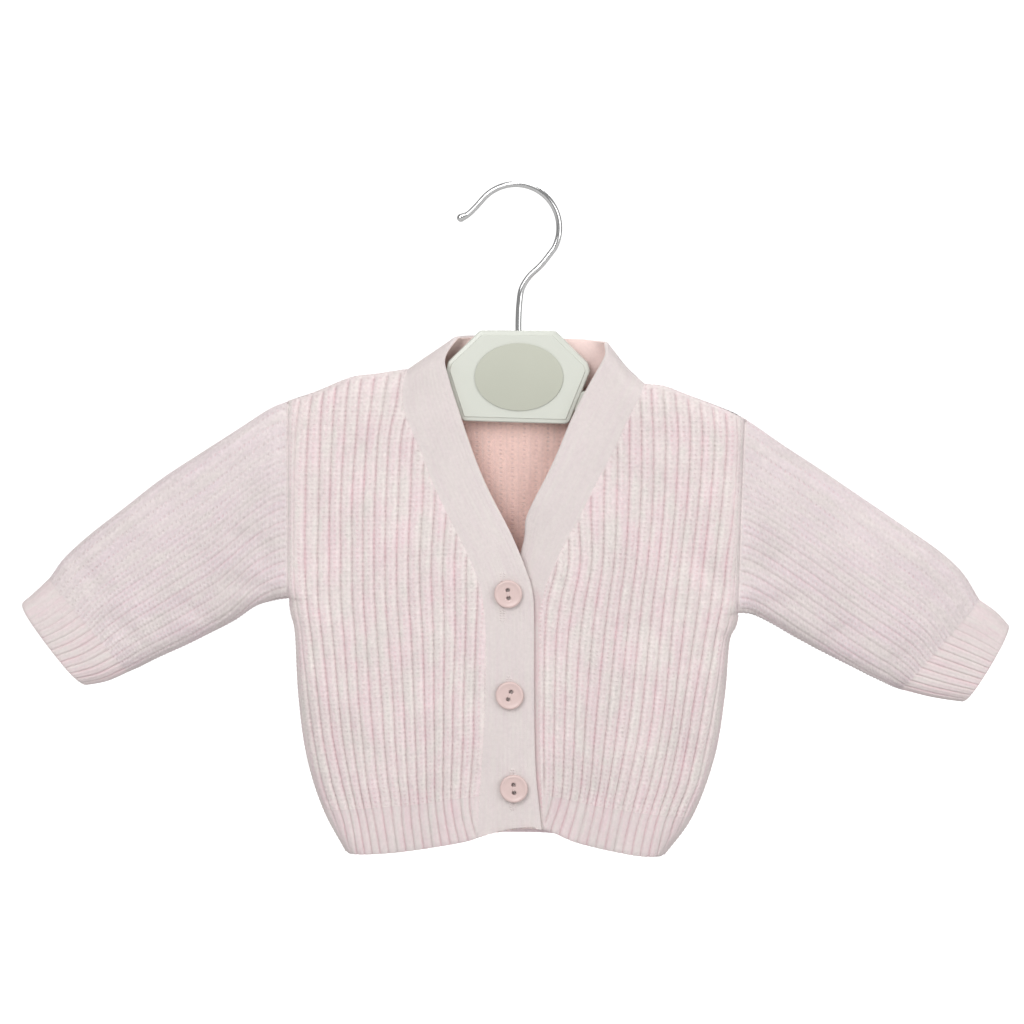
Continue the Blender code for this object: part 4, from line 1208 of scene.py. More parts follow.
class YarnGroup:
    """Fluffy spun yarn: hairs and plies in the surface, an uneven dye, and painted shade mixed into
    its colour.
    """

    _made: bpy.types.NodeTree | None = None

    @classmethod
    def get(cls) -> bpy.types.NodeTree:
        """The group, which is built once."""
        if cls._made is None:
            cls._made = cls.build()
        return cls._made

    @staticmethod
    def build() -> bpy.types.NodeTree:
        """Build the group: colour from the yarn and its painted shade, height from hairs and plies."""
        group, nodes, given, out = new_group(
            "SpunYarn",
            (("Yarn", "NodeSocketColor", (0.8, 0.7, 0.7, 1.0)),
             ("Cream", "NodeSocketColor", (0.8, 0.75, 0.7, 1.0)),
             ("Deep", "NodeSocketColor", (0.6, 0.4, 0.4, 1.0)),
             ("Ash", "NodeSocketColor", (0.6, 0.5, 0.5, 1.0)),
             ("Shade", "NodeSocketFloat", 0.0), ("Shade Depth", "NodeSocketFloat", 0.6),
             ("Unevenness", "NodeSocketFloat", 0.1), ("Ply Turn", "NodeSocketFloat", 0.6),
             ("Hair", "NodeSocketFloat", 0.5)),
            (("Colour", "NodeSocketColor"), ("Height", "NodeSocketFloat"),
             ("Roughness", "NodeSocketFloat")))
        places = nodes.add("ShaderNodeTexCoord").outputs["Object"]
        cloth = nodes.add("ShaderNodeUVMap", uv_map="knit").outputs["UV"]
        dye = nodes.add("ShaderNodeTexNoise", {"Vector": places, "Scale": 48.0, "Detail": 3.0})
        rows = nodes.add("ShaderNodeMapping", {"Vector": cloth, "Scale": (0.75, 0.09, 1.0)})
        tint = nodes.add("ShaderNodeTexNoise", {"Vector": rows.outputs[0], "Scale": 1.0,
                                                "Detail": 3.0, "Roughness": 0.65})
        flecks = nodes.add("ShaderNodeTexNoise", {"Vector": places, "Scale": 620.0, "Detail": 2.0})
        hairs = nodes.add("ShaderNodeTexNoise", {"Vector": places, "Scale": 1900.0, "Detail": 3.0,
                                                 "Distortion": 1.6})
        turned = nodes.add("ShaderNodeMapping", {"Vector": cloth, "Rotation": (0.0, 0.0, 0.62),
                                                 "Scale": (1.0, 0.45, 1.0)})
        plies = nodes.add("ShaderNodeTexWave", {"Vector": turned.outputs[0], "Scale": 3.4,
                                                "Distortion": 1.4, "Detail": 1.0,
                                                "Detail Scale": 3.0}, bands_direction="X")
        level = nodes.maths("ADD", nodes.maths("MULTIPLY", dye.outputs["Fac"], 0.8),
                            nodes.maths("MULTIPLY", flecks.outputs["Fac"], 1.2))
        level = nodes.maths("SUBTRACT", level, 1.0)
        level = nodes.maths("MULTIPLY", level, given.outputs["Unevenness"])
        level = nodes.maths("ADD", level, 1.0)
        level = nodes.add("ShaderNodeCombineColor", {"Red": level, "Green": level, "Blue": level})
        warm = nodes.add("ShaderNodeMapRange", {"Value": tint.outputs["Fac"], "From Min": 0.36,
                                                "From Max": 0.64})
        yarn = nodes.mix(warm.outputs[0], given.outputs["Yarn"], given.outputs["Cream"])
        sunk = nodes.maths("MULTIPLY", given.outputs["Shade"], given.outputs["Shade Depth"])
        # Painted shade colour, drifting between the shade pink and the grey.
        deep = nodes.mix(warm.outputs[0], given.outputs["Deep"], given.outputs["Ash"])
        colour = nodes.mix(sunk, yarn, deep)
        colour = nodes.mix(1.0, colour, level.outputs[0], "MULTIPLY")
        ply = nodes.maths("MULTIPLY", plies.outputs["Fac"], given.outputs["Ply Turn"])
        hair = nodes.maths("MULTIPLY", hairs.outputs["Fac"], given.outputs["Hair"])
        fleck = nodes.maths("MULTIPLY", flecks.outputs["Fac"], 0.6)
        height = nodes.maths("ADD", nodes.maths("ADD", ply, hair), fleck)
        rough = nodes.maths("ADD", nodes.maths("MULTIPLY", hairs.outputs["Fac"], 0.12), 0.84)
        group.links.new(colour, out.inputs["Colour"])
        group.links.new(height, out.inputs["Height"])
        group.links.new(rough, out.inputs["Roughness"])
        return group


# How much fainter the painted groove shade is on the inner face.
LINING_FAINT = 0.65


@dataclass(frozen=True)
class KnitFinish:
    """The finish of one kind of knitted cloth.

    Attributes:
        name: its material.
        yarn: the yarn's colour.
        cream: the paler colour that it drifts to.
        deep: the colour of the painted shade between the loops.
        lit_inside: its colour on the inner face: the same yarn, painted a warmer pink, and lighter on
            the welts and band, for the light that bounces round inside and shines through the thin
            knit.
        depth: how far that painted shade is reached.
        unevenness: how much lighter and darker the dye gets.
        ply: height of the yarn's plies.
        hair: height of its hairs.
        bump: strength of the surface.
        hole: how much painted shade darkens the open loops down the rib's middle.
        bead: how much the groove's painted shade is broken up into beads.
        joint: how much painted shade marks the joints between stitches.
        sheen: its soft sheen.
    """

    name: str
    yarn: tuple
    cream: tuple
    # Painted shade colour between the loops.
    deep: tuple
    # Painted light: a warmer, often lighter colour for the inner face of the same yarn.
    lit_inside: tuple
    depth: float
    unevenness: float
    ply: float
    hair: float
    bump: float
    hole: float
    bead: float
    joint: float
    sheen: float = 0.2

    def make(self) -> bpy.types.Material:
        """Build the material."""
        material = bpy.data.materials.new(self.name)
        material.use_nodes = True
        shader = material.node_tree.nodes["Principled BSDF"]
        nodes = Nodes(material.node_tree)
        groove = nodes.add("ShaderNodeAttribute", attribute_name="groove").outputs["Fac"]
        inside = nodes.add("ShaderNodeAttribute", attribute_name="inside").outputs["Fac"]
        loops = nodes.add("ShaderNodeGroup", node_tree=StitchGroup.get())
        for label, value in (("Hole", self.hole), ("Bead", self.bead), ("Joint", self.joint)):
            loops.inputs[label].default_value = value
        faint = nodes.maths("SUBTRACT", 1.0, nodes.maths("MULTIPLY", inside, LINING_FAINT))
        shown = nodes.maths("MULTIPLY", groove, faint)
        material.node_tree.links.new(shown, loops.inputs["Groove"])
        yarn = nodes.add("ShaderNodeGroup", node_tree=YarnGroup.get())
        for label, value in (("Deep", (*self.deep, 1.0)), ("Ash", (*ASH, 1.0)),
                             ("Shade Depth", self.depth),
                             ("Unevenness", self.unevenness), ("Ply Turn", self.ply),
                             ("Hair", self.hair)):
            yarn.inputs[label].default_value = value
        links = material.node_tree.links
        # The inner face gets its painted-light colour instead of the yarn's.
        links.new(nodes.mix(inside, (*self.yarn, 1.0), (*self.lit_inside, 1.0)), yarn.inputs["Yarn"])
        links.new(nodes.mix(inside, (*self.cream, 1.0), (*self.lit_inside, 1.0)), yarn.inputs["Cream"])
        links.new(loops.outputs["Shade"], yarn.inputs["Shade"])
        height = nodes.maths("ADD", nodes.maths("MULTIPLY", loops.outputs["Height"], 1.6),
                             yarn.outputs["Height"])
        bump = nodes.add("ShaderNodeBump", {"Height": height, "Strength": self.bump,
                                            "Distance": 0.0004})
        links.new(yarn.outputs["Colour"], shader.inputs["Base Color"])
        links.new(yarn.outputs["Roughness"], shader.inputs["Roughness"])
        links.new(bump.outputs["Normal"], shader.inputs["Normal"])
        shader.inputs["Sheen Weight"].default_value = self.sheen
        shader.inputs["Sheen Roughness"].default_value = 0.6
        shader.inputs["Sheen Tint"].default_value = (1.0, 0.93, 0.92, 1.0)
        shader.inputs["Specular IOR Level"].default_value = 0.15
        return material


@dataclass(frozen=True)
class SmoothFinish:
    """The finish of a moulded, printed or metal piece."""

    name: str
    colour: tuple
    roughness: float
    metallic: float = 0.0
    unevenness: float = 0.04
    grain: float = 300.0
    bump: float = 0.05
    coat: float = 0.0

    def make(self) -> bpy.types.Material:
        """Build the material, with a faint cloudiness in colour, gloss and surface."""
        material = bpy.data.materials.new(self.name)
        material.use_nodes = True
        shader = material.node_tree.nodes["Principled BSDF"]
        nodes = Nodes(material.node_tree)
        places = nodes.add("ShaderNodeTexCoord").outputs["Object"]
        cloud = nodes.add("ShaderNodeTexNoise", {"Vector": places, "Scale": 45.0, "Detail": 3.0})
        fine = nodes.add("ShaderNodeTexNoise", {"Vector": places, "Scale": self.grain})
        darker = tuple(channel * (1.0 - self.unevenness) for channel in self.colour)
        colour = nodes.mix(cloud.outputs["Fac"], (*self.colour, 1.0), (*darker, 1.0))
        rough = nodes.maths("MULTIPLY", cloud.outputs["Fac"], 0.1)
        rough = nodes.maths("ADD", rough, self.roughness - 0.05)
        bump = nodes.add("ShaderNodeBump", {"Height": fine.outputs["Fac"], "Strength": self.bump,
                                            "Distance": 0.0002})
        links = material.node_tree.links
        links.new(colour, shader.inputs["Base Color"])
        links.new(rough, shader.inputs["Roughness"])
        links.new(bump.outputs["Normal"], shader.inputs["Normal"])
        shader.inputs["Metallic"].default_value = self.metallic
        shader.inputs["Coat Weight"].default_value = self.coat
        return material


PALE_PINK = (0.80, 0.675, 0.685)
CREAM_PINK = (0.785, 0.725, 0.695)
# Painted shade: the deeper pink that the knit is darkened to in its grooves, holes and stitch joints.
GROOVE_SHADE_PINK = (0.70, 0.435, 0.475)
# Painted light: the inner faces' colour, a warmer, stronger pink than the yarn, for light bouncing
# round inside the garment and shining through it.
LIT_INSIDE_SALMON = (0.92, 0.65, 0.585)
RIB_KNIT = KnitFinish("rib_knit", PALE_PINK, CREAM_PINK, GROOVE_SHADE_PINK, LIT_INSIDE_SALMON, 0.70, 0.26, 0.4, 0.6,
                      0.8, 0.62, 0.46, 0.16)
SLEEVE_KNIT = KnitFinish("sleeve_knit", (0.75, 0.655, 0.675), (0.75, 0.68, 0.665), GROOVE_SHADE_PINK,
                         LIT_INSIDE_SALMON, 0.62, 0.26, 0.4, 0.6, 0.8, 0.68, 0.60, 0.22)
# Its inner face is painted lightest, for the light that shines through the thin knit under the front
# hem.
WELT_KNIT = KnitFinish("welt_knit", (0.725, 0.61, 0.62), (0.715, 0.655, 0.635), GROOVE_SHADE_PINK,
                       (0.95, 0.80, 0.83), 0.60, 0.14, 0.4, 0.6, 0.6, 0.16, 0.1, 0.08)
BAND_KNIT = KnitFinish("band_knit", (0.685, 0.615, 0.61), (0.70, 0.64, 0.62), GROOVE_SHADE_PINK,
                       (0.92, 0.73, 0.69), 0.6, 0.12, 0.3, 0.6, 0.5, 0.14, 0.1, 0.16)
# Painted shade: the seams are the body's yarn, coloured darker so their ridges read as shaded lines.
SHADED_SEAM_YARN = KnitFinish("seam_yarn", (0.72, 0.61, 0.62), (0.71, 0.64, 0.62), GROOVE_SHADE_PINK, LIT_INSIDE_SALMON,
                       0.5, 0.3, 0.5, 0.6, 0.7, 0.0, 0.0, 0.0)
BUTTON_PINK = SmoothFinish("button_pink", (0.64, 0.49, 0.465), 0.38, coat=0.15, bump=0.02)
BUTTON_THREAD = SmoothFinish("button_thread", (0.80, 0.66, 0.63), 0.8, bump=0.3, grain=2500.0)
HANGER_WHITE = SmoothFinish("hanger_white", (0.61, 0.625, 0.565), 0.30, bump=0.03, coat=0.15)
BADGE_GREY = SmoothFinish("badge_grey", (0.465, 0.475, 0.40), 0.6, bump=0.1, grain=1500.0)
BRIGHT_WIRE = SmoothFinish("bright_wire", (0.72, 0.72, 0.72), 0.14, metallic=1.0, bump=0.02)


# ---------------------------------------------------------------- hard pieces

def mesh_object(name: str, bm: bmesh.types.BMesh, sharp: float | None = 40.0) -> bpy.types.Object:
    """Link a new object for a bmesh, shaded smooth with its sharp edges kept."""
    mesh = bpy.data.meshes.new(name)
    bm.to_mesh(mesh)
    bm.free()
    mesh.shade_smooth()
    if sharp is not None:
        mesh.set_sharp_from_angle(angle=math.radians(sharp))
    obj = bpy.data.objects.new(name, mesh)
    bpy.context.scene.collection.objects.link(obj)
    return obj


def settle(obj: bpy.types.Object) -> None:
    """Replace an object's mesh by what its modifiers make of it."""
    bpy.context.view_layer.update()
    evaluated = obj.evaluated_get(bpy.context.evaluated_depsgraph_get())
    mesh = bpy.data.meshes.new_from_object(evaluated)
    obj.modifiers.clear()
    obj.data = mesh


def cut(obj: bpy.types.Object, cutters: Sequence[bpy.types.Object]) -> None:
    """Cut shapes out of an object and remove them."""
    for cutter in cutters:
        boolean = obj.modifiers.new("Cut", "BOOLEAN")
        boolean.operation = "DIFFERENCE"
        boolean.object = cutter
    settle(obj)
    for cutter in cutters:
        bpy.data.objects.remove(cutter, do_unlink=True)


@dataclass
class Button:
    """A rimmed two-hole button with its sewing thread."""

    place: ButtonPlace
    radius: float = 7.0
    thick: float = 2.2
    hole: float = 1.05
    spread: float = 1.95
    steps: int = 72

    def profile(self) -> list[tuple[float, float]]:
        """Radius and height along the button's outline, from the middle of its face."""
        return [(0.0, 1.74), (3.9, 1.76), (4.8, 1.82), (5.3, 1.95), (5.7, 2.1), (6.05, self.thick),
                (6.45, 2.1), (6.8, 1.8), (self.radius, 1.25), (6.8, 0.7), (6.4, 0.3),
                (5.6, 0.0), (0.0, 0.0)]

    def build(self) -> tuple[bpy.types.Object, bpy.types.Object]:
        """Turn the button, drill it and sew it on."""
        bm = bmesh.new()
        points = [bm.verts.new((radius, 0.0, height)) for radius, height in self.profile()]
        edges = [bm.edges.new(pair) for pair in zip(points, points[1:])]
        bmesh.ops.spin(bm, geom=points + edges, cent=(0, 0, 0), axis=(0, 0, 1),
                       angle=2 * math.pi, steps=self.steps, use_merge=True)
        bmesh.ops.remove_doubles(bm, verts=bm.verts, dist=0.001)
        bmesh.ops.recalc_face_normals(bm, faces=bm.faces)
        button = mesh_object(self.place.node + "_disc", bm)
        cut(button, [self.drill(side) for side in (-1, 1)])
        self.put(button)
        thread = self.thread()
        self.put(thread)
        return button, thread

    def drill(self, side: int) -> bpy.types.Object:
        """A cutter for one hole, wider at the button's face."""
        bm = bmesh.new()
        points = [bm.verts.new(co) for co in (
            (0.0, 0.0, -1.0), (self.hole, 0.0, -1.0), (self.hole, 0.0, 1.35),
            (self.hole + 0.1, 0.0, 1.55), (self.hole + 0.3, 0.0, 1.8), (self.hole + 0.3, 0.0, 3.0),
            (0.0, 0.0, 3.0))]
        edges = [bm.edges.new(pair) for pair in zip(points, points[1:])]
        bmesh.ops.spin(bm, geom=points + edges, cent=(0, 0, 0), axis=(0, 0, 1),
                       angle=2 * math.pi, steps=30, use_merge=True)
        bmesh.ops.remove_doubles(bm, verts=bm.verts, dist=0.001)
        bmesh.ops.recalc_face_normals(bm, faces=bm.faces)
        bmesh.ops.rotate(bm, verts=bm.verts, matrix=Matrix.Rotation(0.05, 3, "Z"))
        bmesh.ops.translate(bm, verts=bm.verts, vec=(0.0, side * self.spread, 0.0))
        return mesh_object("drill", bm)

    def thread(self) -> bpy.types.Object:
        """Two strands of thread from hole to hole, over the face and down through."""
        curve = bpy.data.curves.new("thread", "CURVE")
        curve.dimensions = "3D"
        curve.bevel_depth = 0.15
        curve.bevel_resolution = 2
        curve.use_fill_caps = True
        for offset in (-0.2, 0.2):
            line = curve.splines.new("POLY")
            turns = np.linspace(0.0, math.pi, 15)
            route = [(offset, -self.spread * math.cos(a) * 0.62, 1.35 + 0.6 * math.sin(a))
                     for a in turns]
            route = [(offset, -self.spread * 0.62, 0.1)] + route + [(offset, self.spread * 0.62, 0.1)]
            line.points.add(len(route) - 1)
            for point, co in zip(line.points, route):
                point.co = (*co, 1.0)
        obj = bpy.data.objects.new(self.place.node + "_thread", curve)
        bpy.context.scene.collection.objects.link(obj)
        bpy.context.view_layer.update()
        mesh = bpy.data.meshes.new_from_object(
            obj.evaluated_get(bpy.context.evaluated_depsgraph_get()))
        bpy.data.objects.remove(obj, do_unlink=True)
        bm = bmesh.new()
        bm.from_mesh(mesh)
        bmesh.ops.remove_doubles(bm, verts=bm.verts, dist=0.0001)
        bmesh.ops.recalc_face_normals(bm, faces=bm.faces)
        return mesh_object(self.place.node + "_thread", bm, None)

    def put(self, obj: bpy.types.Object) -> None:
        """Move a piece from the button's own frame, in millimetres, to where it is sewn."""
        low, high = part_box(self.place.node)
        upright = Matrix.Rotation(math.radians(90), 4, "X")
        turned = Matrix.Rotation(math.radians(self.place.turn), 4, "Y")
        place = Matrix.Translation(((low.x + high.x) / 2, high.y, (low.z + high.z) / 2))
        obj.data.transform(place @ turned @ upright @ Matrix.Scale(MM, 4))


def rounded(corners: Sequence[tuple], radius: float, inset: float = 0.0, steps: int = 4) -> Array:
    """A convex outline with rounded corners, moved in evenly.

    Args:
        corners: its corners, clockwise.
        radius: the rounding of each corner.
        inset: how far the whole outline is moved in, less than the radius.
        steps: how many stretches each corner has.

    Returns:
        The outline's points.
    """
    corners = np.array(corners, dtype=float)
    points = []
    for start, corner, end in zip(np.roll(corners, 1, axis=0), corners, np.roll(corners, -1, axis=0)):
        here, ahead = corner - start, end - corner
        first = np.array([-here[1], here[0]]) / np.linalg.norm(here)
        second = np.array([-ahead[1], ahead[0]]) / np.linalg.norm(ahead)
        middle = corner - (first + second) * radius / (1.0 + first @ second)
        for share in np.linspace(0.0, 1.0, steps + 1):
            away = first * (1.0 - share) + second * share
            points.append(middle + away / np.linalg.norm(away) * (radius - inset))
    return np.array(points)


def lofted(name: str, rings: Sequence[Array]) -> bpy.types.Object:
    """A closed solid through a row of rings of points, in millimetres, capped at both ends."""
    bm = bmesh.new()
    loops = [[bm.verts.new(tuple(point * MM)) for point in ring] for ring in rings]
    for loop, following in zip(loops, loops[1:]):
        for index, vertex in enumerate(loop):
            ahead = (index + 1) % len(loop)
            bm.faces.new((vertex, loop[ahead], following[ahead], following[index]))
    bm.faces.new(loops[0])
    bm.faces.new(loops[-1])
    bmesh.ops.recalc_face_normals(bm, faces=bm.faces)
    return mesh_object(name, bm, 32.0)


@dataclass
class Hanger:
    """The moulded hanger: a head plate whose faces are raised inside a rim, and two slim arms."""

    node: str = "hanger"
    corners: tuple = (Point(-18.5, -71.0), Point(18.5, -71.0), Point(35.0, -87.0),
                      Point(36.3, -91.2), Point(25.8, -117.4), Point(-28.0, -116.0),
                      Point(-35.8, -91.2), Point(-34.7, -86.6))
    corner: float = 3.2
    relief: tuple = ((3.1, 4.5), (2.45, 4.45), (2.1, 3.9), (1.5, 3.8), (0.6, 3.65), (0.15, 3.2),
                     (0.0, 2.5))
    arm_thick: float = 6.4
    arm_drop: float = 5.2
    arm_round: float = 1.5
    reach: tuple = (-104.0, 103.0)
    arm_height: tuple = (12.0, 7.0)
    stem_bore: float = 2.0

    def build(self) -> bpy.types.Object:
        """Model the plate and the arms, join them and drill the plate for the stem."""
        plate = self.plate()
        arms = self.arms()
        union = plate.modifiers.new("Arms", "BOOLEAN")
        union.operation = "UNION"
        union.object = arms
        settle(plate)
        bpy.data.objects.remove(arms, do_unlink=True)
        bm = bmesh.new()
        bmesh.ops.create_cone(bm, cap_ends=True, segments=32, radius1=self.stem_bore * MM,
                              radius2=self.stem_bore * MM, depth=24.0 * MM)
        bmesh.ops.translate(bm, verts=bm.verts, vec=(0.4 * MM, 0.0, -71.0 * MM))
        cut(plate, [mesh_object("bore", bm)])
        plate.data.shade_smooth()
        plate.data.set_sharp_from_angle(angle=math.radians(32))
        return plate

    def plate(self) -> bpy.types.Object:
        """The head plate, as one row of outlines from its front to its back."""
        front = [(inset, -depth) for inset, depth in self.relief]
        rings = []
        for inset, y in front + [(inset, -y) for inset, y in front[::-1]]:
            outline = rounded(self.corners, self.corner, inset)
            rings.append(np.stack([outline[:, 0], np.full(len(outline), y), outline[:, 1]], axis=-1))
        return lofted("hanger_moulded", rings)

    def arms(self) -> bpy.types.Object:
        """Both arms in one bar with rounded edges, just under the shoulder line."""
        right, left = SHOULDER[Side.RIGHT][-1], SHOULDER[Side.LEFT][-1]
        rings = []
        for x in np.linspace(self.reach[0], self.reach[1], 47):
            level = float(BODY.crest_z(np.array(x)))
            if right.x < x < left.x:
                level = float(np.interp(x, [right.x, left.x], [right.z, left.z]))
            spread = abs(x) / max(abs(end) for end in self.reach)
            high = self.arm_height[0] + (self.arm_height[1] - self.arm_height[0]) * spread
            half, top = self.arm_thick / 2, level - self.arm_drop
            corners = ((-half, top), (half, top), (half, top - high), (-half, top - high))
            outline = rounded(corners, self.arm_round)
            rings.append(np.stack([np.full(len(outline), x), outline[:, 0], outline[:, 1]], axis=-1))
        return lofted("hanger_arms", rings)


@dataclass
class Hook:
    """The hanger's hook: round bright wire with a turned-over, swollen tip."""

    node: str = "hanger_hook"
    wire: float = 1.5
    centre: Point = Point(-1.0, -20.2)
    radius: float = 21.7
    turn: tuple = (-28.0, 137.0)
    swell: float = 1.3
    stem: tuple = (Point(0.4, -82.0), Point(0.4, -74.0), Point(0.4, -66.0), Point(0.8, -58.0),
                   Point(2.0, -50.5), Point(5.8, -44.2), Point(12.0, -38.2))
    tip: tuple = (Point(-20.6, -9.6), Point(-24.6, -13.4), Point(-28.2, -15.2))

    def route(self) -> Array:
        """The wire's centre line."""
        angles = np.radians(np.linspace(self.turn[0], self.turn[1], 60))
        crown = np.stack([self.centre.x + self.radius * np.cos(angles),
                          self.centre.z + self.radius * np.sin(angles)], axis=-1)
        below = spline(list(self.stem) + [tuple(crown[0])], 8)[:-1]
        beyond = spline([tuple(crown[-1])] + list(self.tip), 8)[1:]
        return np.vstack([below, crown, beyond])

    def build(self) -> bpy.types.Object:
        """Sweep the wire and close its tip with a ball."""
        curve = bpy.data.curves.new(self.node, "CURVE")
        curve.dimensions = "3D"
        curve.bevel_depth = self.wire * MM
        curve.bevel_resolution = 6
        curve.use_fill_caps = True
        line = curve.splines.new("POLY")
        route = self.route()
        line.points.add(len(route) - 1)
        for point, (x, z) in zip(line.points, route):
            point.co = (x * MM, 0.0, z * MM, 1.0)
        for index, point in enumerate(list(line.points)[-10:]):
            point.radius = 1.0 + (self.swell - 1.0) * float(ease(np.array(index / 9.0)))
        swept = bpy.data.objects.new("hook_curve", curve)
        bpy.context.scene.collection.objects.link(swept)
        bpy.context.view_layer.update()
        mesh = bpy.data.meshes.new_from_object(
            swept.evaluated_get(bpy.context.evaluated_depsgraph_get()))
        bpy.data.objects.remove(swept, do_unlink=True)
        bm = bmesh.new()
        bm.from_mesh(mesh)
        bmesh.ops.remove_doubles(bm, verts=bm.verts, dist=0.000001)
        bmesh.ops.recalc_face_normals(bm, faces=bm.faces)
        wire = mesh_object("hanger_wire", bm, 50.0)
        ball = bmesh.new()
        bmesh.ops.create_uvsphere(ball, u_segments=28, v_segments=16,
                                  radius=self.wire * self.swell * 1.04 * MM)
        end = route[-1]
        bmesh.ops.translate(ball, verts=ball.verts, vec=(end[0] * MM, 0.0, end[1] * MM))
        tip = mesh_object("hook_ball", ball)
        union = wire.modifiers.new("Ball", "BOOLEAN")
        union.operation = "UNION"
        union.object = tip
        settle(wire)
        bpy.data.objects.remove(tip, do_unlink=True)
        wire.data.shade_smooth()
        wire.data.set_sharp_from_angle(angle=math.radians(50))
        return wire


@dataclass
class Badge:
    """The oval badge on the hanger's plate, left bare."""

    node: str = "hanger_badge"
    steps: int = 96

    def build(self) -> bpy.types.Object:
        """A thin oval disc with a soft rim, in the solid's own box."""
        low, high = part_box(self.node)
        size, middle = high - low, (high + low) / 2
        bm = bmesh.new()
        bmesh.ops.create_cone(bm, cap_ends=True, segments=self.steps, radius1=0.5, radius2=0.5,
                              depth=1.0)
        upright = Matrix.Rotation(math.radians(90), 4, "X")
        shape = Matrix.Diagonal((size.x, size.y, size.z, 1.0))
        bmesh.ops.transform(bm, matrix=Matrix.Translation(middle) @ shape @ upright, verts=bm.verts)
        rims = [edge for edge in bm.edges if edge.calc_face_angle(0.0) > math.radians(60)]
        bmesh.ops.bevel(bm, geom=rims, offset=0.12 * MM, offset_type="OFFSET", segments=3,
                        profile=0.5, affect="EDGES", material=-1)
        return mesh_object("hanger_oval", bm)


# ---------------------------------------------------------------- seams and stitches

@dataclass
class SeamCord:
    """A narrow ridge of yarn in a seam, with a slight swelling at each stitch."""

    name: str
    route: Array
    radius: float
    stitch: float = 2.2
    sides: int = 8

    def build(self) -> bpy.types.Object:
        """Sweep a beaded cord along the seam."""
        lengths = lengths_along(self.route)
        steps = max(8, int(lengths[-1] / (self.stitch / 4)))
        points = at_fractions(self.route, np.linspace(0.0, 1.0, steps + 1))
        curve = bpy.data.curves.new(self.name, "CURVE")
        curve.dimensions = "3D"
        curve.bevel_depth = self.radius * MM
        curve.bevel_resolution = self.sides // 4
        curve.use_fill_caps = True
        line = curve.splines.new("POLY")
        line.points.add(len(points) - 1)
        for index, (point, co) in enumerate(zip(line.points, points)):
            point.co = (*(co * MM), 1.0)
            point.radius = 1.0 + 0.16 * math.cos(index * math.pi / 2)
        swept = bpy.data.objects.new("swept", curve)
        bpy.context.scene.collection.objects.link(swept)
        bpy.context.view_layer.update()
        mesh = bpy.data.meshes.new_from_object(
            swept.evaluated_get(bpy.context.evaluated_depsgraph_get()))
        bpy.data.objects.remove(swept, do_unlink=True)
        bm = bmesh.new()
        bm.from_mesh(mesh)
        bmesh.ops.remove_doubles(bm, verts=bm.verts, dist=0.000002)
        bmesh.ops.recalc_face_normals(bm, faces=bm.faces)
        return mesh_object(self.name, bm, None)


ARMHOLE_RADIUS, SEAM_RADIUS = 0.55, 0.85
ARMHOLE_SUNK, NECK_SUNK, BAND_SUNK = 0.40, 0.6, 0.8


def seam_routes() -> dict[str, Array]:
    """The lines of the cardigan's seams on its outer surface, by name."""
    routes = {}
    for side in Side:
        line = BODY.side[side]
        tip, low = SHOULDER[side][0].z, UNDERARM[side]
        z = np.linspace(tip - 2.0, low + 1.5, 60)
        x = BODY.side_x(side, z)
        depth = np.maximum(BODY.half_depth(x, z) - ARMHOLE_SUNK, 0.3)
        front = np.stack([x, -depth, z], axis=-1)
        behind = np.stack([x, depth, z], axis=-1)[::-1]
        over = np.array([[x[0], 0.0, tip - 0.9]])
        under = np.array([[x[-1], 0.0, low + 0.7]])
        routes["armhole_" + side.label] = np.vstack([over, front, under, behind, over])
        z = np.linspace(low - 1.0, SIDE_LINE[side][-1].z + 1.5, 60)
        x = BODY.side_x(side, z) - side.value * 0.5
        routes["side_" + side.label] = np.stack([x, np.zeros_like(x), z], axis=-1)
        shoulder = spline(SHOULDER[side], 8)
        drop = np.full(len(shoulder), 0.6)
        routes["shoulder_" + side.label] = np.stack(
            [shoulder[:, 0], np.zeros_like(drop), shoulder[:, 1] - drop], axis=-1)
        band = BODY.band_seam[side]
        hem = read_line(BODY.front_hem, band[:, 0])
        band = band[(band[:, 1] < SHOULDER[side][-1].z - 0.5) & (band[:, 1] > hem + 1.6)]
        depth = BODY.front(side)(band[:, 0], band[:, 1]) - BAND_SUNK
        routes["band_" + side.label] = np.stack([band[:, 0], -depth, band[:, 1]], axis=-1)
    neck = BODY.neck_seam[2:-2]
    depth = BODY.half_depth(neck[:, 0], neck[:, 1]) - NECK_SUNK
    routes["neck"] = np.stack([neck[:, 0], depth, neck[:, 1]], axis=-1)
    return routes


@dataclass
class HoleStitches:
    """The ring of short stitches that binds one buttonhole."""

    name: str
    hole: Buttonhole
    gap: float = 0.95
    step: float = 1.15

    def build(self) -> bpy.types.Object:
        """Lay small rounded stitches down both sides of the slit and across its ends."""
        bm = bmesh.new()
        reach = self.hole.half
        heights = np.arange(-reach, reach + 0.01, self.step)
        places = [(side * self.gap, height, 0.0) for side in (-1, 1) for height in heights]
        places += [(offset, end * (reach + 0.5), 90.0) for end in (-1, 1) for offset in (-0.5, 0.5)]
        depth = BODY.front(Side.RIGHT)
        for across, up, turn in places:
            x, z = self.hole.x + across, self.hole.z + up
            y = -float(depth(np.array(x), np.array(z))) + 0.16
            made = bmesh.ops.create_uvsphere(bm, u_segments=8, v_segments=6, radius=0.5)
            size = Matrix.Diagonal((1.6, 0.9, 0.9, 1.0))
            spun = Matrix.Rotation(math.radians(turn), 4, "Y")
            place = Matrix.Translation((x, y, z))
            bmesh.ops.transform(bm, matrix=Matrix.Scale(MM, 4) @ place @ spun @ size,
                                verts=made["verts"])
        return mesh_object(self.name, bm, None)


# ---------------------------------------------------------------- studio

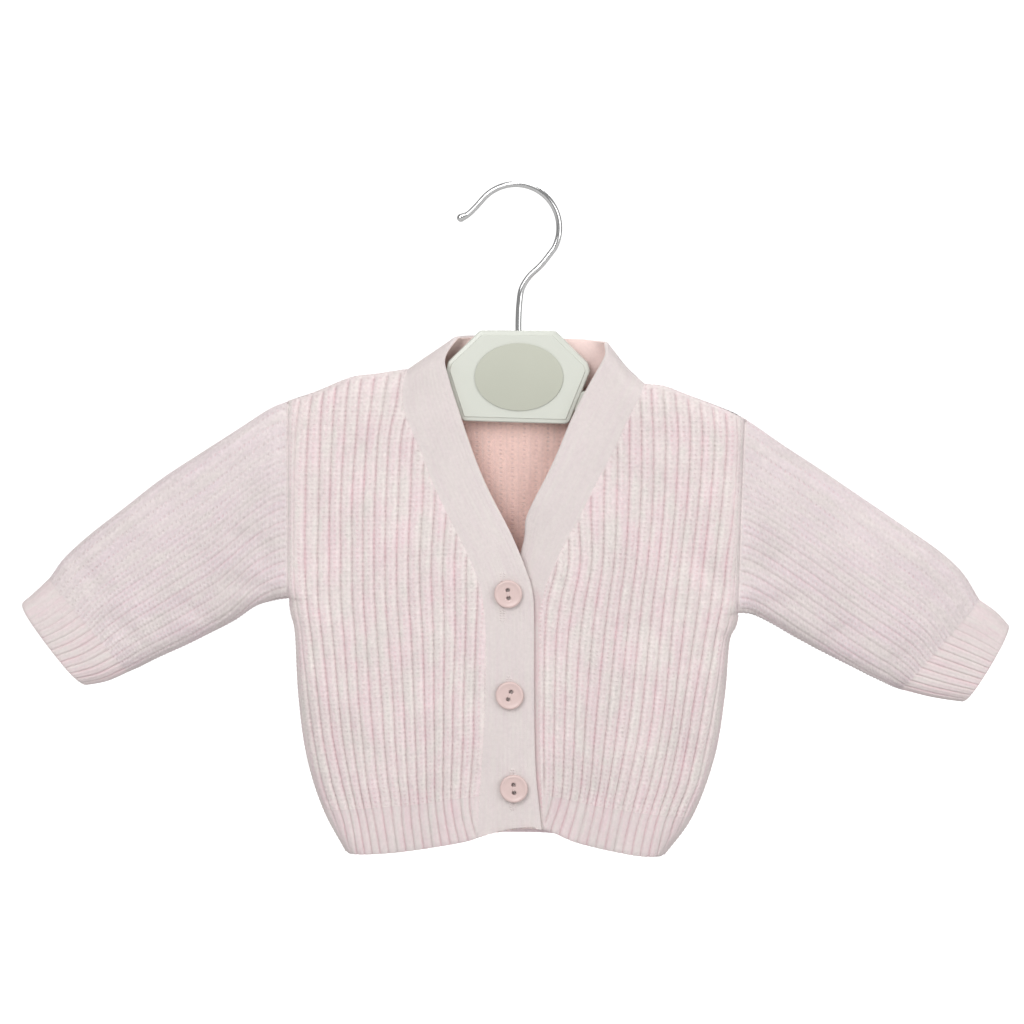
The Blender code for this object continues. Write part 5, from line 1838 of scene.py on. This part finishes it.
@dataclass
class Studio:
    """A pale room with soft light, and the camera."""

    centre: Vector = field(default_factory=lambda: Vector((-0.0028, 0.0, -0.1615)))
    azimuth: float = 4.0
    elevation: float = 4.0
    distance: float = 2.4
    lens: float = 169.3
    floor_z: float = -0.52
    wall_y: float = 3.6
    reach: float = 5.0

    def build(self) -> None:
        """Put up the backdrop, the lights, the sky and the camera."""
        self.backdrop()
        self.lights()
        self.sky()
        self.camera()
        bpy.context.scene.view_settings.view_transform = "Standard"

    def backdrop(self) -> None:
        """A floor that curves up into a wall, both pale."""
        bm = bmesh.new()
        bend = 0.5
        section = [(-self.reach, self.floor_z), (self.wall_y - bend, self.floor_z)]
        section += [(self.wall_y - bend + bend * math.sin(a), self.floor_z + bend * (1 - math.cos(a)))
                    for a in np.linspace(0.1, math.pi / 2, 14)]
        section += [(self.wall_y, 3.2)]
        points = [bm.verts.new((-self.reach, y, z)) for y, z in section]
        edges = [bm.edges.new(pair) for pair in zip(points, points[1:])]
        swept = bmesh.ops.extrude_edge_only(bm, edges=edges)["geom"]
        moved = [item for item in swept if isinstance(item, bmesh.types.BMVert)]
        bmesh.ops.translate(bm, verts=moved, vec=(2 * self.reach, 0.0, 0.0))
        bmesh.ops.recalc_face_normals(bm, faces=bm.faces)
        wall = mesh_object("backdrop", bm)
        wall.data.materials.append(self.paper())

    def paper(self) -> bpy.types.Material:
        """White paper that is lit from behind, so it stays even, and throws little light back."""
        material = bpy.data.materials.new("pale_paper")
        material.use_nodes = True
        nodes = Nodes(material.node_tree)
        shader = material.node_tree.nodes["Principled BSDF"]
        shader.inputs["Base Color"].default_value = (0.30, 0.30, 0.30, 1.0)
        shader.inputs["Roughness"].default_value = 0.9
        shader.inputs["Emission Color"].default_value = (1.0, 1.0, 1.0, 1.0)
        seen = nodes.add("ShaderNodeLightPath").outputs["Is Camera Ray"]
        glow = nodes.maths("ADD", nodes.maths("MULTIPLY", seen, 0.68), 0.32)
        material.node_tree.links.new(glow, shader.inputs["Emission Strength"])
        return material

    def lights(self) -> None:
        """Large soft lamps in front of the garment, and one behind it."""
        for name, place, size, power in (
                ("key", (-0.9, -2.1, 1.0), 1.5, 36.5), ("fill", (1.9, -1.7, 0.3), 1.8, 27.5),
                ("top", (0.1, -0.7, 1.6), 1.3, 9.6), ("behind", (0.3, 2.0, 1.5), 1.2, 34.0)):
            light = bpy.data.lights.new(name, "AREA")
            light.size = size
            light.energy = power
            lamp = bpy.data.objects.new(name, light)
            lamp.location = place
            lamp.rotation_euler = (self.centre - Vector(place)).to_track_quat("-Z", "Y").to_euler()
            bpy.context.scene.collection.objects.link(lamp)

    def sky(self) -> None:
        """White all round, and weak as a light."""
        world = bpy.data.worlds.new("soft_sky")
        world.use_nodes = True
        nodes = Nodes(world.node_tree)
        seen = nodes.add("ShaderNodeLightPath").outputs["Is Camera Ray"]
        strength = nodes.maths("ADD", nodes.maths("MULTIPLY", seen, 0.7), 0.32)
        sky = world.node_tree.nodes["Background"]
        sky.inputs["Color"].default_value = (1.0, 1.0, 1.0, 1.0)
        world.node_tree.links.new(strength, sky.inputs["Strength"])
        bpy.context.scene.world = world

    def camera(self) -> None:
        """A long lens, a little to the side and a little above."""
        turn, lift = math.radians(self.azimuth), math.radians(self.elevation)
        away = Vector((math.sin(turn) * math.cos(lift), -math.cos(turn) * math.cos(lift),
                       math.sin(lift)))
        data = bpy.data.cameras.new("camera")
        data.lens = self.lens
        camera = bpy.data.objects.new("camera", data)
        camera.location = self.centre + away * self.distance
        camera.rotation_euler = (-away).to_track_quat("-Z", "Y").to_euler()
        bpy.context.scene.collection.objects.link(camera)
        bpy.context.scene.camera = camera


# ---------------------------------------------------------------- assembly

class Workroom:
    """Finishes pieces: gives each its material, its body and what it stands for."""

    def __init__(self) -> None:
        """Start with no materials made."""
        self.made: dict[str, bpy.types.Material] = {}

    def finish(self, obj: bpy.types.Object, look: KnitFinish | SmoothFinish, slot: str,
               *nodes: str) -> bpy.types.Object:
        """Dress one piece and report it.

        Args:
            obj: the piece.
            look: its finish.
            slot: the record's material slot; not used.
            nodes: the solids that it stands for.

        Returns:
            The piece.
        """
        if look.name not in self.made:
            self.made[look.name] = look.make()
        obj.data.materials.clear()
        obj.data.materials.append(self.made[look.name])
        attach(obj, "root")
        if nodes:
            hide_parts(*nodes)
        obj.data.calc_loop_triangles()
        LOG.info("%s: %d triangles", obj.name, len(obj.data.loop_triangles))
        return obj


@dataclass(frozen=True)
class Cut:
    """The flat cut of one cloth piece: width and length, and its share of that rectangle."""

    width: float
    length: float
    share: float = 1.0

    def declare(self, obj: bpy.types.Object, rests_on: Sequence[str]) -> None:
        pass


CUTS = {
    "front_right": Cut(0.100, 0.219, 0.822), "front_left": Cut(0.098, 0.2155, 0.817),
    "back": Cut(0.228, 0.219, 0.926),
    "sleeve_right": Cut(0.214, 0.151, 0.611), "sleeve_left": Cut(0.209, 0.147, 0.614),
    "cuff_right": Cut(0.141, 0.024, 0.718), "cuff_left": Cut(0.136, 0.032, 0.592),
    "welt_front_right": Cut(0.0806, 0.0248, 0.863), "welt_front_left": Cut(0.0757, 0.0234, 0.825),
    "welt_back": Cut(0.1886, 0.0244, 0.867), "button_band": Cut(0.0237, 0.6154, 0.999),
}


PANEL_WALL, WELT_WALL, SLEEVE_WALL, CUFF_WALL = 2.6, 2.4, 2.3, 2.1
BACK_TOP, FRONT_TOP, WELT_TOP = -88.0, -89.0, -302.0
BACK_RIB_SPAN, FRONT_RIB_SPAN, FRONT_WELT_SPAN = (-22, 22), (-2, 18), (-2, 19)
SLEEVE_RIBS = 32


def build_cloth(room: Workroom) -> None:
    """Build every knitted piece of the cardigan."""
    panels = [BodyPanel("back", BACK_RIB, BACK_GROOVES, BACK_RIBS, *BACK_RIB_SPAN,
                        BACK_TOP, PANEL_WALL, None),
              BodyPanel("welt_back", WELT_RIB, BACK_GROOVES, BACK_RIBS, *BACK_RIB_SPAN,
                        WELT_TOP, WELT_WALL, None, True)]
    for side in Side:
        panels.append(BodyPanel("front_" + side.label, FULL_RIB, GROOVES, FRONT_RIBS[side],
                                *FRONT_RIB_SPAN, FRONT_TOP, PANEL_WALL, side))
        panels.append(BodyPanel("welt_front_" + side.label, WELT_RIB, GROOVES, FRONT_RIBS[side],
                                *FRONT_WELT_SPAN, WELT_TOP, WELT_WALL, side, True))
    for panel in panels:
        look, slot = (WELT_KNIT, "welt_knit") if panel.is_welt else (RIB_KNIT, "rib_knit")
        obj = room.finish(panel.build(), look, slot, panel.node)
        CUTS[panel.node].declare(obj, ["hanger"])
    for side in Side:
        sleeve = Tube("sleeve_" + side.label, side, SLEEVE[side], SLEEVE_RIB, SLEEVE_RIBS, SLEEVE_WALL)
        cuff = Tube("cuff_" + side.label, side, CUFF[side], CUFF_RIB, SLEEVE_RIBS, CUFF_WALL, True)
        obj = room.finish(sleeve.build(), SLEEVE_KNIT, "rib_knit", sleeve.node)
        CUTS[sleeve.node].declare(obj, ["front_" + side.label + "_knit"])
        obj = room.finish(cuff.build(), WELT_KNIT, "welt_knit", cuff.node)
        CUTS[cuff.node].declare(obj, ["sleeve_" + side.label + "_knit"])
    band = ButtonBand()
    obj = room.finish(band.build(), BAND_KNIT, "band_knit", band.node)
    CUTS[band.node].declare(obj, ["hanger"])


def build_trims(room: Workroom) -> None:
    """Build the seams, the buttonholes' stitches and the buttons."""
    for name, route in seam_routes().items():
        slot = "band_knit" if name.startswith(("neck", "band")) else "rib_knit"
        radius = ARMHOLE_RADIUS if name.startswith("armhole") else SEAM_RADIUS
        room.finish(SeamCord("seam_" + name, route, radius).build(), SHADED_SEAM_YARN, slot)
    for place, hole in zip(BUTTONS, BUTTONHOLES):
        stitches = HoleStitches(place.node.replace("button", "buttonhole"), hole)
        room.finish(stitches.build(), BAND_KNIT, "band_knit")
    for place in BUTTONS:
        disc, thread = Button(place).build()
        room.finish(disc, BUTTON_PINK, "button", place.node)
        room.finish(thread, BUTTON_THREAD, "button")


def build_hanger(room: Workroom) -> None:
    """Build the hanger, its hook and its bare badge."""
    room.finish(Hanger().build(), HANGER_WHITE, "hanger", "hanger")
    room.finish(Hook().build(), BRIGHT_WIRE, "hook", "hanger_hook")
    room.finish(Badge().build(), BADGE_GREY, "badge", "hanger_badge")


def main() -> None:
    """Build the whole scene."""
    logging.basicConfig(level=logging.INFO, format="%(message)s")
    room = Workroom()
    Studio().build()
    build_cloth(room)
    build_trims(room)
    build_hanger(room)


if __name__ == "__main__":
    main()
